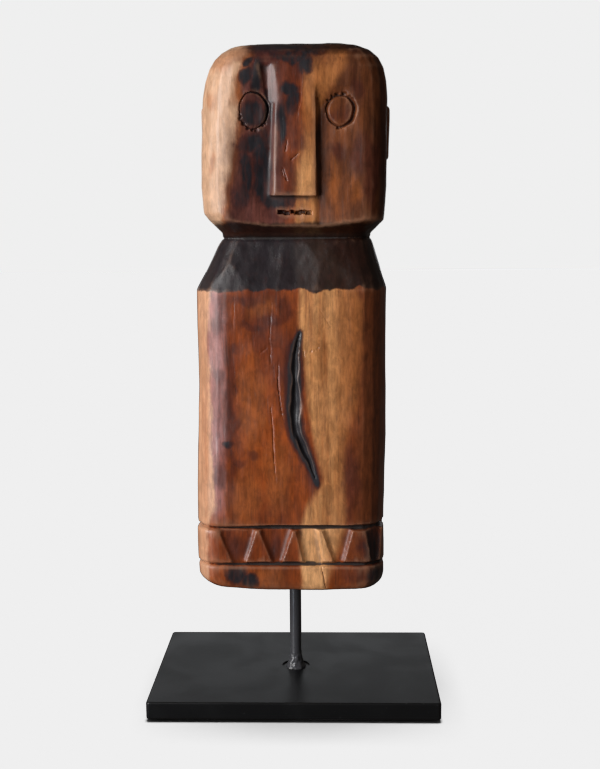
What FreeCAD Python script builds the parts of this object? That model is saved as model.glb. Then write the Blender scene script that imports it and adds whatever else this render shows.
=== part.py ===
"""A carved wooden doll that stands on a pin: a flat steel plate on four felt pads, a round rod
welded upright in it, a thin sleeve loose on the rod, and the figure, one piece of wood with a
blind hole that drops over the sleeve.

Frame: millimetres, +Z up, the face looks along -Y, and the origin is the middle of the footprint
on the surface that the pads rest on.
"""

import os

import FreeCAD
import Part
import Sketcher
from FreeCAD import Vector

SHEET = "Dimensions"
START_POINT, END_POINT, CENTRE_POINT = 1, 2, 3

# Stand.
STAND = {
    "plate_width": 150.0,
    "plate_depth": 100.0,
    "plate_thick": 9.0,
    "plate_corner": 1.5,
    "plate_edge": 0.6,
    "pad_diameter": 12.0,
    "pad_thick": 1.5,
    "pad_inset": 14.0,
    "rod_diameter": 6.0,
    "rod_showing": 52.0,
    "rod_inside_doll": 60.0,
    "rod_tip_chamfer": 0.8,
    "sleeve_wall": 0.5,
    "sleeve_cap": 1.0,
    "sleeve_recess": 2.0,
    "running_gap": 0.05,
    "recess_radius": 7.4,
    "recess_depth": 0.7,
    "bead_radius": 5.6,
    "bead_height": 9.5,
    "bead_lip": 0.5,
    "bead_hollow": 0.7,
}

# Figure. Heights are measured up from its sole.
FIGURE = {
    "nose_left": -8.0,
    "nose_right": 15.8,
    "nose_foot": 202.6,
    "cheek_left_edge": -31.0,
    "cheek_right_edge": 36.0,
    "cheek_sink": 3.6,
    "brow_height": 264.0,
    "cut_clearance": 3.0,
    "chin_height": 188.0,
    "face_front": 33.5,
    "eye_left_place": -17.6,
    "eye_right_place": 24.8,
    "eye_height": 243.4,
    "eye_radius": 7.2,
    "eye_ring_width": 1.8,
    "eye_ring_sink": 3.9,
    "mouth_left": -5.6,
    "mouth_right": 12.2,
    "mouth_height": 194.2,
    "mouth_opening": 1.8,
    "mouth_sink": 5.4,
    "ear_low": 221.0,
    "ear_high": 246.5,
    "ear_front": -2.0,
    "ear_back": 10.0,
    "ear_proud": 2.4,
    "ear_corner": 3.0,
    "chip_sink": 2.0,
    "chip_low": 17.3,
    "chip_high": 34.0,
    "torso_front": 33.0,
}

# Level sections of the figure, from the sole to the crown: height, left, right, front, back,
# and the 45 degree cuts that take off its left and right corners.
STATION_KEYS = ("level", "left", "right", "front", "back", "cut_left", "cut_right")
STATIONS = {
    "sole": (0.0, 43.5, 41.0, 27.5, 27.5, 8.0, 11.0),
    "heel": (4.5, 49.2, 46.8, 32.6, 32.6, 11.0, 14.0),
    "hem_low": (14.4, 49.6, 47.2, 33.0, 33.0, 11.0, 14.0),
    "hem_root": (15.7, 48.0, 45.6, 31.4, 31.4, 10.4, 13.4),
    "hem_high": (17.0, 49.6, 47.2, 33.0, 33.0, 11.0, 14.0),
    "waist_low": (34.3, 49.6, 47.2, 33.0, 33.0, 11.0, 14.0),
    "waist_root": (35.7, 48.0, 45.6, 31.4, 31.4, 10.4, 13.4),
    "waist_high": (37.1, 49.9, 47.4, 33.0, 33.0, 11.0, 14.0),
    "shoulder": (155.5, 48.0, 48.2, 33.0, 33.0, 11.0, 15.0),
    "neck": (182.0, 34.0, 39.3, 23.0, 23.0, 9.0, 9.0),
    "jaw": (191.0, 42.4, 46.2, 33.5, 31.0, 14.0, 11.0),
    "cheek": (225.0, 44.9, 47.9, 33.5, 32.0, 15.0, 12.0),
    "temple": (258.0, 43.4, 47.6, 33.5, 32.0, 15.0, 12.0),
    "crown_low": (269.0, 38.4, 44.0, 31.0, 30.0, 14.0, 12.0),
    "crown_high": (274.5, 32.0, 37.0, 26.0, 25.0, 12.0, 12.0),
    "crown": (277.0, 22.0, 25.0, 18.0, 18.0, 9.0, 9.0),
}

# Chip cuts of the skirt band, each wider at its top: top left, top right, foot right, foot left.
FRONT_CHIPS = ((-38.5, -18.5, -24.5, -31.0), (-17.5, 0.0, -5.5, -10.5),
               (1.5, 13.0, 16.0, 5.5), (15.0, 31.0, 26.0, 21.0))
SIDE_CHIPS = ((-17.0, -1.5, -7.0, -12.0), (1.5, 17.0, 12.0, 7.0))


def named(alias):
    """The sheet's cell as an expression."""
    return f"{SHEET}.{alias}"


def make_sheet(doc):
    """Writes every driving dimension into the document's spreadsheet, one aliased cell each."""
    sheet = doc.addObject("Spreadsheet::Sheet", SHEET)
    values = {**STAND, **FIGURE}
    for name, numbers in STATIONS.items():
        values.update({f"{name}_{key}": n for key, n in zip(STATION_KEYS, numbers)})
    for row, (alias, value) in enumerate(values.items(), start=1):
        sheet.set(f"A{row}", alias)
        sheet.set(f"B{row}", str(value))
        sheet.setAlias(f"B{row}", alias)
    doc.recompute()
    return sheet


def make_body(doc, name):
    """A PartDesign body whose label names the file it is written to."""
    body = doc.addObject("PartDesign::Body", name)
    body.Label = name
    return body


def origin_plane(body, role):
    """One of a body's own origin planes."""
    return next(f for f in body.Origin.OriginFeatures if f.Role == role)


def make_sketch(body, name, role="XY_Plane", offset=None):
    """A sketch on one of the body's origin planes, moved along its normal by an expression."""
    sketch = body.newObject("Sketcher::SketchObject", name)
    sketch.AttachmentSupport = [(origin_plane(body, role), "")]
    sketch.MapMode = "FlatFace"
    if offset:
        sketch.setExpression("AttachmentOffset.Base.z", offset)
    return sketch


def hold(sketch, geometry, point, x, y):
    """Ties a point of the geometry to the sketch's origin by two distances, each an expression."""
    for kind, expression in (("DistanceX", x), ("DistanceY", y)):
        distance = evaluate(sketch, expression)
        index = sketch.addConstraint(Sketcher.Constraint(kind, geometry, point, distance))
        sketch.setExpression(f"Constraints[{index}]", expression)


def add_circle(sketch, radius, x="0", y="0"):
    """A circle with its radius and centre bound to expressions."""
    centre = Vector(evaluate(sketch, x), evaluate(sketch, y), 0)
    size = evaluate(sketch, radius)
    circle = sketch.addGeometry(Part.Circle(centre, Vector(0, 0, 1), size), False)
    index = sketch.addConstraint(Sketcher.Constraint("Radius", circle, size))
    sketch.setExpression(f"Constraints[{index}]", radius)
    hold(sketch, circle, CENTRE_POINT, x, y)


def add_polygon(sketch, corners):
    """A closed outline of straight lines; each corner is a pair of expressions (x, y).

    The corners are first drawn where the expressions put them, so that the solver starts from
    the right shape, and each is then held by its two distances from the sketch's origin.
    """
    places = [Vector(evaluate(sketch, x), evaluate(sketch, y), 0) for x, y in corners]
    ends = places[1:] + places[:1]
    lines = [sketch.addGeometry(Part.LineSegment(start, end), False)
             for start, end in zip(places, ends)]
    for i, line in enumerate(lines):
        sketch.addConstraint(
            Sketcher.Constraint("Coincident", lines[i - 1], END_POINT, line, START_POINT))
        hold(sketch, line, START_POINT, *corners[i])


def evaluate(sketch, expression):
    """The number that an expression on the sheet gives now."""
    value = sketch.evalExpression(expression)
    return float(getattr(value, "Value", value))


def figure_rest():
    """Height of the figure's sole above the surface under the pads, as an expression."""
    return " + ".join(named(alias) for alias in ("pad_thick", "plate_thick", "rod_showing"))


def add_pad(body, sketch, length, name="Pad"):
    """A pad of the sketch along its normal."""
    pad = body.newObject("PartDesign::Pad", name)
    pad.Profile = sketch
    pad.setExpression("Length", length)
    return pad


def add_pocket(body, sketch, length, name, reverse=False):
    """A pocket of the sketch; it raises if the cut takes nothing off the body."""
    body.Document.recompute()
    before = body.Shape.Volume
    pocket = body.newObject("PartDesign::Pocket", name)
    pocket.Profile = sketch
    pocket.Reversed = reverse
    pocket.setExpression("Length", length)
    body.Document.recompute()
    if not body.Shape.Volume < before:
        raise RuntimeError(f"pocket {name} of {body.Label} cuts nothing")
    return pocket


def edges_where(shape, test):
    """Names of the shape's edges that pass a test."""
    return [f"Edge{i}" for i, e in enumerate(shape.Edges, start=1) if test(e)]


def is_upright(edge):
    """Whether a straight edge runs along Z."""
    box = edge.BoundBox
    return box.ZLength > 1e-6 and box.XLength < 1e-6 and box.YLength < 1e-6


def add_dressing(body, kind, base, edges, size_property, size):
    """A fillet or chamfer on the named edges of the feature before it."""
    dressing = body.newObject(f"PartDesign::{kind}", kind)
    dressing.Base = (base, edges)
    dressing.setExpression(size_property, size)
    return dressing


def make_base_plate(doc):
    """Flat steel plate with rounded corners, softened rims and a drilled hole for the rod."""
    body = make_body(doc, "base_plate")
    width, depth = named("plate_width"), named("plate_depth")
    outline = make_sketch(body, "PlateOutline")
    add_polygon(outline, [(f"-{width} / 2", f"-{depth} / 2"), (f"{width} / 2", f"-{depth} / 2"),
                          (f"{width} / 2", f"{depth} / 2"), (f"-{width} / 2", f"{depth} / 2")])
    pad = add_pad(body, outline, named("plate_thick"))
    doc.recompute()
    corners = edges_where(pad.Shape, is_upright)
    fillet = add_dressing(body, "Fillet", pad, corners, "Radius", named("plate_corner"))
    doc.recompute()
    rims = edges_where(fillet.Shape, lambda e: e.BoundBox.ZLength < 1e-6)
    add_dressing(body, "Chamfer", fillet, rims, "Size", named("plate_edge"))
    recess = make_sketch(body, "BeadRecess", offset=named("plate_thick"))
    add_circle(recess, named("recess_radius"))
    add_pocket(body, recess, named("recess_depth"), "BeadRecessPocket")
    hole = make_sketch(body, "RodHole")
    add_circle(hole, f"{named('rod_diameter')} / 2")
    add_pocket(body, hole, named("plate_thick"), "RodHolePocket", reverse=True)
    body.setExpression("Placement.Base.z", named("pad_thick"))
    return body


def make_felt_pads(doc):
    """Four round felt pads, one under each corner of the plate."""
    pads = []
    for end, along in (("front", -1), ("back", 1)):
        for side, across in (("left", -1), ("right", 1)):
            body = make_body(doc, f"felt_pad_{end}_{side}")
            disc = make_sketch(body, f"Disc_{end}_{side}")
            add_circle(disc, f"{named('pad_diameter')} / 2")
            add_pad(body, disc, named("pad_thick"))
            for axis, size, sign in (("x", "plate_width", across), ("y", "plate_depth", along)):
                body.setExpression(f"Placement.Base.{axis}",
                                   f"{sign} * ({named(size)} / 2 - {named('pad_inset')})")
            pads.append(body)
    return pads


def make_support_rod(doc):
    """Round bar from the plate's underside up into the figure, with a chamfered tip."""
    body = make_body(doc, "support_rod")
    section = make_sketch(body, "RodSection")
    add_circle(section, f"{named('rod_diameter')} / 2")
    length = f"{named('plate_thick')} + {named('rod_showing')} + {named('rod_inside_doll')}"
    pad = add_pad(body, section, length)
    doc.recompute()
    top = pad.Shape.BoundBox.ZMax
    tip = edges_where(pad.Shape, lambda e: e.Closed and abs(e.CenterOfMass.z - top) < 1e-6)
    add_dressing(body, "Chamfer", pad, tip, "Size", named("rod_tip_chamfer"))
    body.setExpression("Placement.Base.z", named("pad_thick"))
    return body


def make_rod_sleeve(doc):
    """Thin brass tube with a closed top, loose on the rod, that the figure turns and slides on."""
    body = make_body(doc, "rod_sleeve")
    bore = f"{named('rod_diameter')} / 2 + {named('running_gap')}"
    section = make_sketch(body, "SleeveSection")
    add_circle(section, f"{bore} + {named('sleeve_wall')}")
    length = f"{named('rod_inside_doll')} - {named('sleeve_recess')}"
    add_pad(body, section, f"{length} + {named('sleeve_cap')}")
    hollow = make_sketch(body, "SleeveHollow")
    add_circle(hollow, bore)
    add_pocket(body, hollow, length, "SleeveHollowPocket", reverse=True)
    body.setExpression("Placement.Base.z", f"{figure_rest()} + {named('sleeve_recess')}")
    return body


def make_weld_bead(doc):
    """Weld metal round the rod's foot: a ring with a hollow flank that thins out up the rod."""
    body = make_body(doc, "weld_bead")
    profile = make_sketch(body, "BeadProfile", "XZ_Plane")
    rod, bead, height, lip, hollow = (
        evaluate(profile, expression) for expression in
        (f"{named('rod_diameter')} / 2", named("bead_radius"), named("bead_height"),
         named("bead_lip"), named("bead_hollow")))
    inner_foot, outer_foot, shoulder = Vector(rod, 0, 0), Vector(bead, 0, 0), Vector(bead, lip, 0)
    rim, top = Vector(rod + lip / 2, height, 0), Vector(rod, height, 0)
    waist = (shoulder + rim) / 2 - Vector(hollow, hollow, 0)
    profile.addGeometry([Part.LineSegment(inner_foot, outer_foot),
                         Part.LineSegment(outer_foot, shoulder), Part.Arc(rim, waist, shoulder),
                         Part.LineSegment(rim, top), Part.LineSegment(top, inner_foot)], False)
    turn = body.newObject("PartDesign::Revolution", "Bead")
    turn.Profile = profile
    turn.ReferenceAxis = (profile, ["V_Axis"])
    turn.Angle = 360.0
    foot = f"{named('pad_thick')} + {named('plate_thick')} - {named('recess_depth')}"
    body.setExpression("Placement.Base.z", foot)
    return body


def station_outline(name):
    """Corners of one level section of the figure, counter-clockwise from its front left."""
    left, right, front, back, cut_left, cut_right = (
        named(f"{name}_{key}") for key in STATION_KEYS[1:])
    return [(f"-{left} + {cut_left}", f"-{front}"), (f"{right} - {cut_right}", f"-{front}"),
            (right, f"-{front} + {cut_right}"), (right, f"{back} - {cut_right}"),
            (f"{right} - {cut_right}", back), (f"-{left} + {cut_left}", back),
            (f"-{left}", f"{back} - {cut_left}"), (f"-{left}", f"-{front} + {cut_left}")]


def add_trunk(body):
    """The figure's blank: one ruled loft through the level sections, grooves included."""
    sections = []
    for name in STATIONS:
        section = make_sketch(body, f"Section_{name}", offset=named(f"{name}_level"))
        add_polygon(section, station_outline(name))
        sections.append(section)
    body.Document.recompute()
    loft = body.newObject("PartDesign::AdditiveLoft", "Trunk")
    loft.Profile = sections[0]
    loft.Sections = sections[1:]
    loft.Ruled = True
    return loft


def add_ears(body):
    """A flat block with rounded corners on each side of the head."""
    for side, sign in (("left", -1), ("right", 1)):
        outline = make_sketch(body, f"Ear_{side}", "YZ_Plane")
        corner = named("ear_corner")
        front, back = named("ear_front"), named("ear_back")
        low, high = named("ear_low"), named("ear_high")
        add_polygon(outline, [(f"{front} + {corner}", low), (f"{back} - {corner}", low),
                              (back, f"{low} + {corner}"), (back, f"{high} - {corner}"),
                              (f"{back} - {corner}", high), (f"{front} + {corner}", high),
                              (front, f"{high} - {corner}"), (front, f"{low} + {corner}")])
        ear = add_pad(body, outline, f"{named(f'cheek_{side}')} + {named('ear_proud')}",
                      f"EarPad_{side}")
        ear.Reversed = sign < 0


def add_face(body):
    """Cuts the face back on both sides of the nose and below it, then the eyes and the mouth."""
    front = named("face_front")
    ramps = make_sketch(body, "CheekRamps", offset=named("brow_height"))
    clearance = named("cut_clearance")
    beyond = f"-{front} - {clearance}"
    for nose, edge in (("nose_left", "cheek_left_edge"), ("nose_right", "cheek_right_edge")):
        add_polygon(ramps, [(named(nose), beyond), (named(nose), f"-{front} + {named('cheek_sink')}"),
                            (named(edge), f"-{front}"), (named(edge), beyond)])
    ramp_drop = f"{named('brow_height')} - {named('chin_height')} + {clearance}"
    add_pocket(body, ramps, ramp_drop, "CheekRampPocket")

    lip = make_sketch(body, "LipFlat", offset=named("nose_foot"))
    add_polygon(lip, [(named("nose_left"), beyond), (named("nose_right"), beyond),
                      (named("nose_right"), f"-{front} + {named('cheek_sink')}"),
                      (named("nose_left"), f"-{front} + {named('cheek_sink')}")])
    lip_drop = f"{named('nose_foot')} - {named('chin_height')} + {clearance}"
    add_pocket(body, lip, lip_drop, "LipPocket")

    rings = make_sketch(body, "EyeRings", "XZ_Plane", offset=front)
    for place in ("eye_left_place", "eye_right_place"):
        for radius in (named("eye_radius"), f"{named('eye_radius')} + {named('eye_ring_width')}"):
            add_circle(rings, radius, named(place), named("eye_height"))
    add_pocket(body, rings, named("eye_ring_sink"), "EyeRingPocket")

    mouth = make_sketch(body, "Mouth", "XZ_Plane", offset=front)
    low, high = (f"{named('mouth_height')} {sign} {named('mouth_opening')} / 2" for sign in "-+")
    left, right = named("mouth_left"), named("mouth_right")
    add_polygon(mouth, [(left, low), (right, low), (right, high), (left, high)])
    add_pocket(body, mouth, named("mouth_sink"), "MouthPocket")


def add_chips(body):
    """The skirt band's row of chip cuts, on the front, the back and both sides."""
    low, high = named("chip_low"), named("chip_high")
    faces = (("front", "XZ_Plane", FRONT_CHIPS, named("torso_front"), False),
             ("back", "XZ_Plane", FRONT_CHIPS, f"-{named('torso_front')}", True),
             ("left", "YZ_Plane", SIDE_CHIPS, f"-{named('hem_high_left')}", True),
             ("right", "YZ_Plane", SIDE_CHIPS, named("hem_high_right"), False))
    for name, role, chips, offset, reverse in faces:
        sketch = make_sketch(body, f"Chips_{name}", role, offset=offset)
        for top_left, top_right, foot_right, foot_left in chips:
            add_polygon(sketch, [(str(foot_left), low), (str(foot_right), low),
                                 (str(top_right), high), (str(top_left), high)])
        add_pocket(body, sketch, named("chip_sink"), f"ChipPocket_{name}", reverse)


def make_carved_doll(doc):
    """The figure: trunk, ears, face, skirt band and the blind hole for the rod."""
    body = make_body(doc, "carved_doll")
    add_trunk(body)
    add_ears(body)
    add_face(body)
    add_chips(body)
    bore = make_sketch(body, "Bore")
    add_circle(bore, f"{named('rod_diameter')} / 2 + 2 * {named('running_gap')}"
                     f" + {named('sleeve_wall')}")
    add_pocket(body, bore, f"{named('rod_inside_doll')} + {named('sleeve_cap')}", "BorePocket",
               reverse=True)
    body.setExpression("Placement.Base.z", figure_rest())
    return body


def check(doc, subparts):
    """Raises on a failed feature or a bad shape, and prints each sub-part's size."""
    doc.recompute()
    for item in doc.Objects:
        if "Invalid" in item.State or "Error" in item.State:
            raise RuntimeError(f"{item.Label} failed: {item.State}")
    for body in subparts:
        shape = body.Shape
        if shape.isNull() or not shape.isValid() or not shape.Solids:
            raise RuntimeError(f"{body.Label} has no valid solid")
        box = shape.BoundBox
        print(f"{body.Label}: {box.XLength:.1f} x {box.YLength:.1f} x {box.ZLength:.1f} mm, "
              f"z {box.ZMin:.2f} to {box.ZMax:.2f}, {shape.Volume / 1000:.1f} cm3, "
              f"{len(shape.Solids)} solid")


def main():
    """Builds the document and writes one STEP file for each sub-part."""
    doc = FreeCAD.newDocument("PinStandDoll")
    make_sheet(doc)
    subparts = [make_base_plate(doc), *make_felt_pads(doc), make_support_rod(doc),
                make_weld_bead(doc), make_rod_sleeve(doc), make_carved_doll(doc)]
    check(doc, subparts)
    os.makedirs("parts", exist_ok=True)
    for body in subparts:
        body.Shape.exportStep(f"parts/{body.Label}.step")


main()
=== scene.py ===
"""Looks for a carved wooden figure that stands on a pin in a flat black plate.

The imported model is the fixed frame, in metres. The figure, the plate, the rod, its weld and the
felt pads are modelled here at their places in it, and the brass sleeve keeps its own mesh. Sizes
in the dataclasses are in millimetres, and heights on the figure are measured up from its sole.
"""

from __future__ import annotations

import logging
import math
import random
from dataclasses import dataclass, field
from enum import Enum
from typing import Callable, Iterable, Sequence

import bmesh
import bpy
import numpy as np
from mathutils import Matrix, Vector, noise

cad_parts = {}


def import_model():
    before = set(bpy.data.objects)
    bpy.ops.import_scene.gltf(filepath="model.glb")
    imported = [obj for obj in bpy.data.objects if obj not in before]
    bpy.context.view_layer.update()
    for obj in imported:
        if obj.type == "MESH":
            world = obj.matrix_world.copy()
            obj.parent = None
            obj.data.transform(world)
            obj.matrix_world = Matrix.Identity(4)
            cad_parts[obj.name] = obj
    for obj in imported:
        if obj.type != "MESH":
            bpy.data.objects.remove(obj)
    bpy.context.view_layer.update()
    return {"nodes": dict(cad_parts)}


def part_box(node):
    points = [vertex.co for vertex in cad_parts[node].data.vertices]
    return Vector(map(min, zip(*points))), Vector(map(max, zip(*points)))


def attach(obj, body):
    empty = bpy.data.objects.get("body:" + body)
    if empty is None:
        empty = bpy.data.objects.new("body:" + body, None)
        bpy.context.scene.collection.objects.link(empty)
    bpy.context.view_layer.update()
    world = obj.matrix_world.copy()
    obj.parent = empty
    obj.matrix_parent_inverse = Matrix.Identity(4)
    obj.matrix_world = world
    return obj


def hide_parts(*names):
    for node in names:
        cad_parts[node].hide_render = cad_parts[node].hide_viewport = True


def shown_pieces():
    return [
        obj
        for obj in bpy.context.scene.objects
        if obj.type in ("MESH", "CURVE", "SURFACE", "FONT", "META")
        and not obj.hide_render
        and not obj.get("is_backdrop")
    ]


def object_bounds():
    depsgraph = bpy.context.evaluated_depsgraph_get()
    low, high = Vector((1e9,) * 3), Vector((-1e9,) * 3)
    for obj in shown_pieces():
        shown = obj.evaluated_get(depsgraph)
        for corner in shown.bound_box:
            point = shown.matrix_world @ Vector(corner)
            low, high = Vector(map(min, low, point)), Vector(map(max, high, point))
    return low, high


MM = 0.001
LOG = logging.getLogger("doll")
Colour = tuple[float, float, float, float]
Line = tuple[tuple[float, float, float], ...]
ChipRow = tuple[float, tuple[tuple[float, float, float, float], ...]]
Socket = bpy.types.NodeSocket


def rgb(red: float, green: float, blue: float) -> Colour:
    """An opaque linear colour."""
    return (red, green, blue, 1.0)


def mm(*values: float) -> Vector:
    """A vector in metres from three values in millimetres."""
    return Vector(values) * MM


class Pick(Enum):
    """What an edit-mode selection is made of, with the select mode's three switches."""

    VERTS = (True, False, False)
    EDGES = (False, True, False)
    FACES = (False, False, True)


class Side(Enum):
    """The torso's sides and corners, each by its outward angle about +Z from the front."""

    FRONT = 0.0
    FRONT_RIGHT = 45.0
    RIGHT = 90.0
    BACK_RIGHT = 135.0
    BACK = 180.0
    BACK_LEFT = 225.0
    LEFT = 270.0

    def matrix(self) -> Matrix:
        """Turns a shape made on the front side onto this side."""
        return Matrix.Rotation(math.radians(self.value), 4, "Z")


# ---------------------------------------------------------------- bench work


def focus(piece: bpy.types.Object) -> None:
    """Makes a piece the only selected one and the active one."""
    bpy.ops.object.select_all(action="DESELECT")
    piece.select_set(True)
    bpy.context.view_layer.objects.active = piece


def settle(piece: bpy.types.Object) -> bpy.types.Object:
    """Puts a piece's place, turn and scale into its mesh."""
    focus(piece)
    bpy.ops.object.transform_apply(location=True, rotation=True, scale=True)
    return piece


def block(name: str, low: Vector, high: Vector) -> bpy.types.Object:
    """Adds a box between two corners.

    Args:
        name: the piece's name.
        low: lowest corner, in metres.
        high: highest corner, in metres.

    Returns:
        The new piece.
    """
    bpy.ops.object.select_all(action="DESELECT")
    bpy.ops.mesh.primitive_cube_add(size=1.0, location=(low + high) / 2, scale=high - low)
    piece = bpy.context.object
    piece.name = name
    return settle(piece)


def pick(piece: bpy.types.Object, what: Pick, test: Callable[[object], bool]) -> None:
    """Selects the parts of a mesh that pass a test; the piece is in edit mode.

    Args:
        piece: the piece being edited.
        what: vertices, edges or faces.
        test: says whether one of them is wanted.
    """
    bpy.context.tool_settings.mesh_select_mode = what.value
    mesh = bmesh.from_edit_mesh(piece.data)
    mesh.select_mode = {what.name[:-1]}
    for item in [*mesh.faces, *mesh.edges, *mesh.verts]:
        item.select = False
    for item in getattr(mesh, what.name.lower()):
        if test(item):
            item.select_set(True)
    mesh.select_flush_mode()
    bmesh.update_edit_mesh(piece.data)


def slice_off(piece: bpy.types.Object, point: Vector, outward: Vector) -> None:
    """Cuts a closed piece along a plane and takes away what lies outside it.

    Args:
        piece: the closed piece.
        point: a point on the plane, in metres.
        outward: the plane's normal, towards the part that goes.
    """
    focus(piece)
    bpy.ops.object.mode_set(mode="EDIT")
    bpy.ops.mesh.select_all(action="SELECT")
    bpy.ops.mesh.bisect(plane_co=point, plane_no=outward.normalized(), use_fill=True,
                        clear_outer=True)
    bpy.ops.object.mode_set(mode="OBJECT")


def bevel_edges(piece: bpy.types.Object, test: Callable[[object], bool], width: float,
                segments: int) -> None:
    """Bevels the edges that pass a test.

    Args:
        piece: the piece.
        test: says whether an edge is wanted.
        width: bevel offset, in millimetres.
        segments: how many steps round the bevel.
    """
    focus(piece)
    bpy.ops.object.mode_set(mode="EDIT")
    pick(piece, Pick.EDGES, test)
    bpy.ops.mesh.bevel(offset=width * MM, segments=segments, profile=0.5)
    bpy.ops.object.mode_set(mode="OBJECT")


def apply_modifier(piece: bpy.types.Object, kind: str, **settings: object) -> None:
    """Adds one modifier with its settings and applies it.

    Args:
        piece: the piece.
        kind: the modifier's type.
        settings: its properties.
    """
    focus(piece)
    modifier = piece.modifiers.new(kind.title(), kind)
    for key, value in settings.items():
        setattr(modifier, key, value)
    bpy.ops.object.modifier_apply(modifier=modifier.name)


def join(pieces: Sequence[bpy.types.Object]) -> bpy.types.Object:
    """Joins pieces into the first of them."""
    focus(pieces[0])
    for piece in pieces[1:]:
        piece.select_set(True)
    if len(pieces) > 1:
        bpy.ops.object.join()
    return pieces[0]


def cylinder(name: str, radius: float, depth: float, centre: Sequence[float], sides: int) -> bpy.types.Object:
    """Adds an upright cylinder.

    Args:
        name: the piece's name.
        radius: its radius, in metres.
        depth: its height, in metres.
        centre: its middle, in metres.
        sides: how many sides stand for the round.

    Returns:
        The new piece.
    """
    bpy.ops.object.select_all(action="DESELECT")
    bpy.ops.mesh.primitive_cylinder_add(vertices=sides, radius=radius, depth=depth, location=centre)
    piece = bpy.context.object
    piece.name = name
    return settle(piece)


def shade(piece: bpy.types.Object, degrees: float) -> None:
    """Shades a piece smooth, apart from the edges that turn by more than an angle."""
    focus(piece)
    bpy.ops.object.shade_smooth_by_angle(angle=math.radians(degrees))


def carve(piece: bpy.types.Object, cutters: Sequence[bpy.types.Object]) -> None:
    """Takes closed cutters out of a closed piece, one after another, and removes them."""
    for cutter in cutters:
        apply_modifier(piece, "BOOLEAN", operation="DIFFERENCE", object=cutter, solver="EXACT")
        bpy.data.objects.remove(cutter)


def plane(first: Sequence[float], second: Sequence[float], third: Sequence[float]
          ) -> tuple[Sequence[float], Vector]:
    """The plane through three points, as a point and the normal that points to the back."""
    normal = (Vector(second) - Vector(first)).cross(Vector(third) - Vector(first))
    return first, normal if normal.y > 0 else -normal


def along_z(edge: bmesh.types.BMEdge) -> bool:
    """Whether an edge runs mostly up."""
    way = (edge.verts[0].co - edge.verts[1].co).normalized()
    return abs(way.z) > 0.9


def smooth_step(low: float, high: float, value: np.ndarray) -> np.ndarray:
    """Rises smoothly from 0 at low to 1 at high."""
    share = np.clip((value - low) / (high - low), 0.0, 1.0)
    return share * share * (3.0 - 2.0 * share)


# ---------------------------------------------------------------- node recipes


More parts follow.
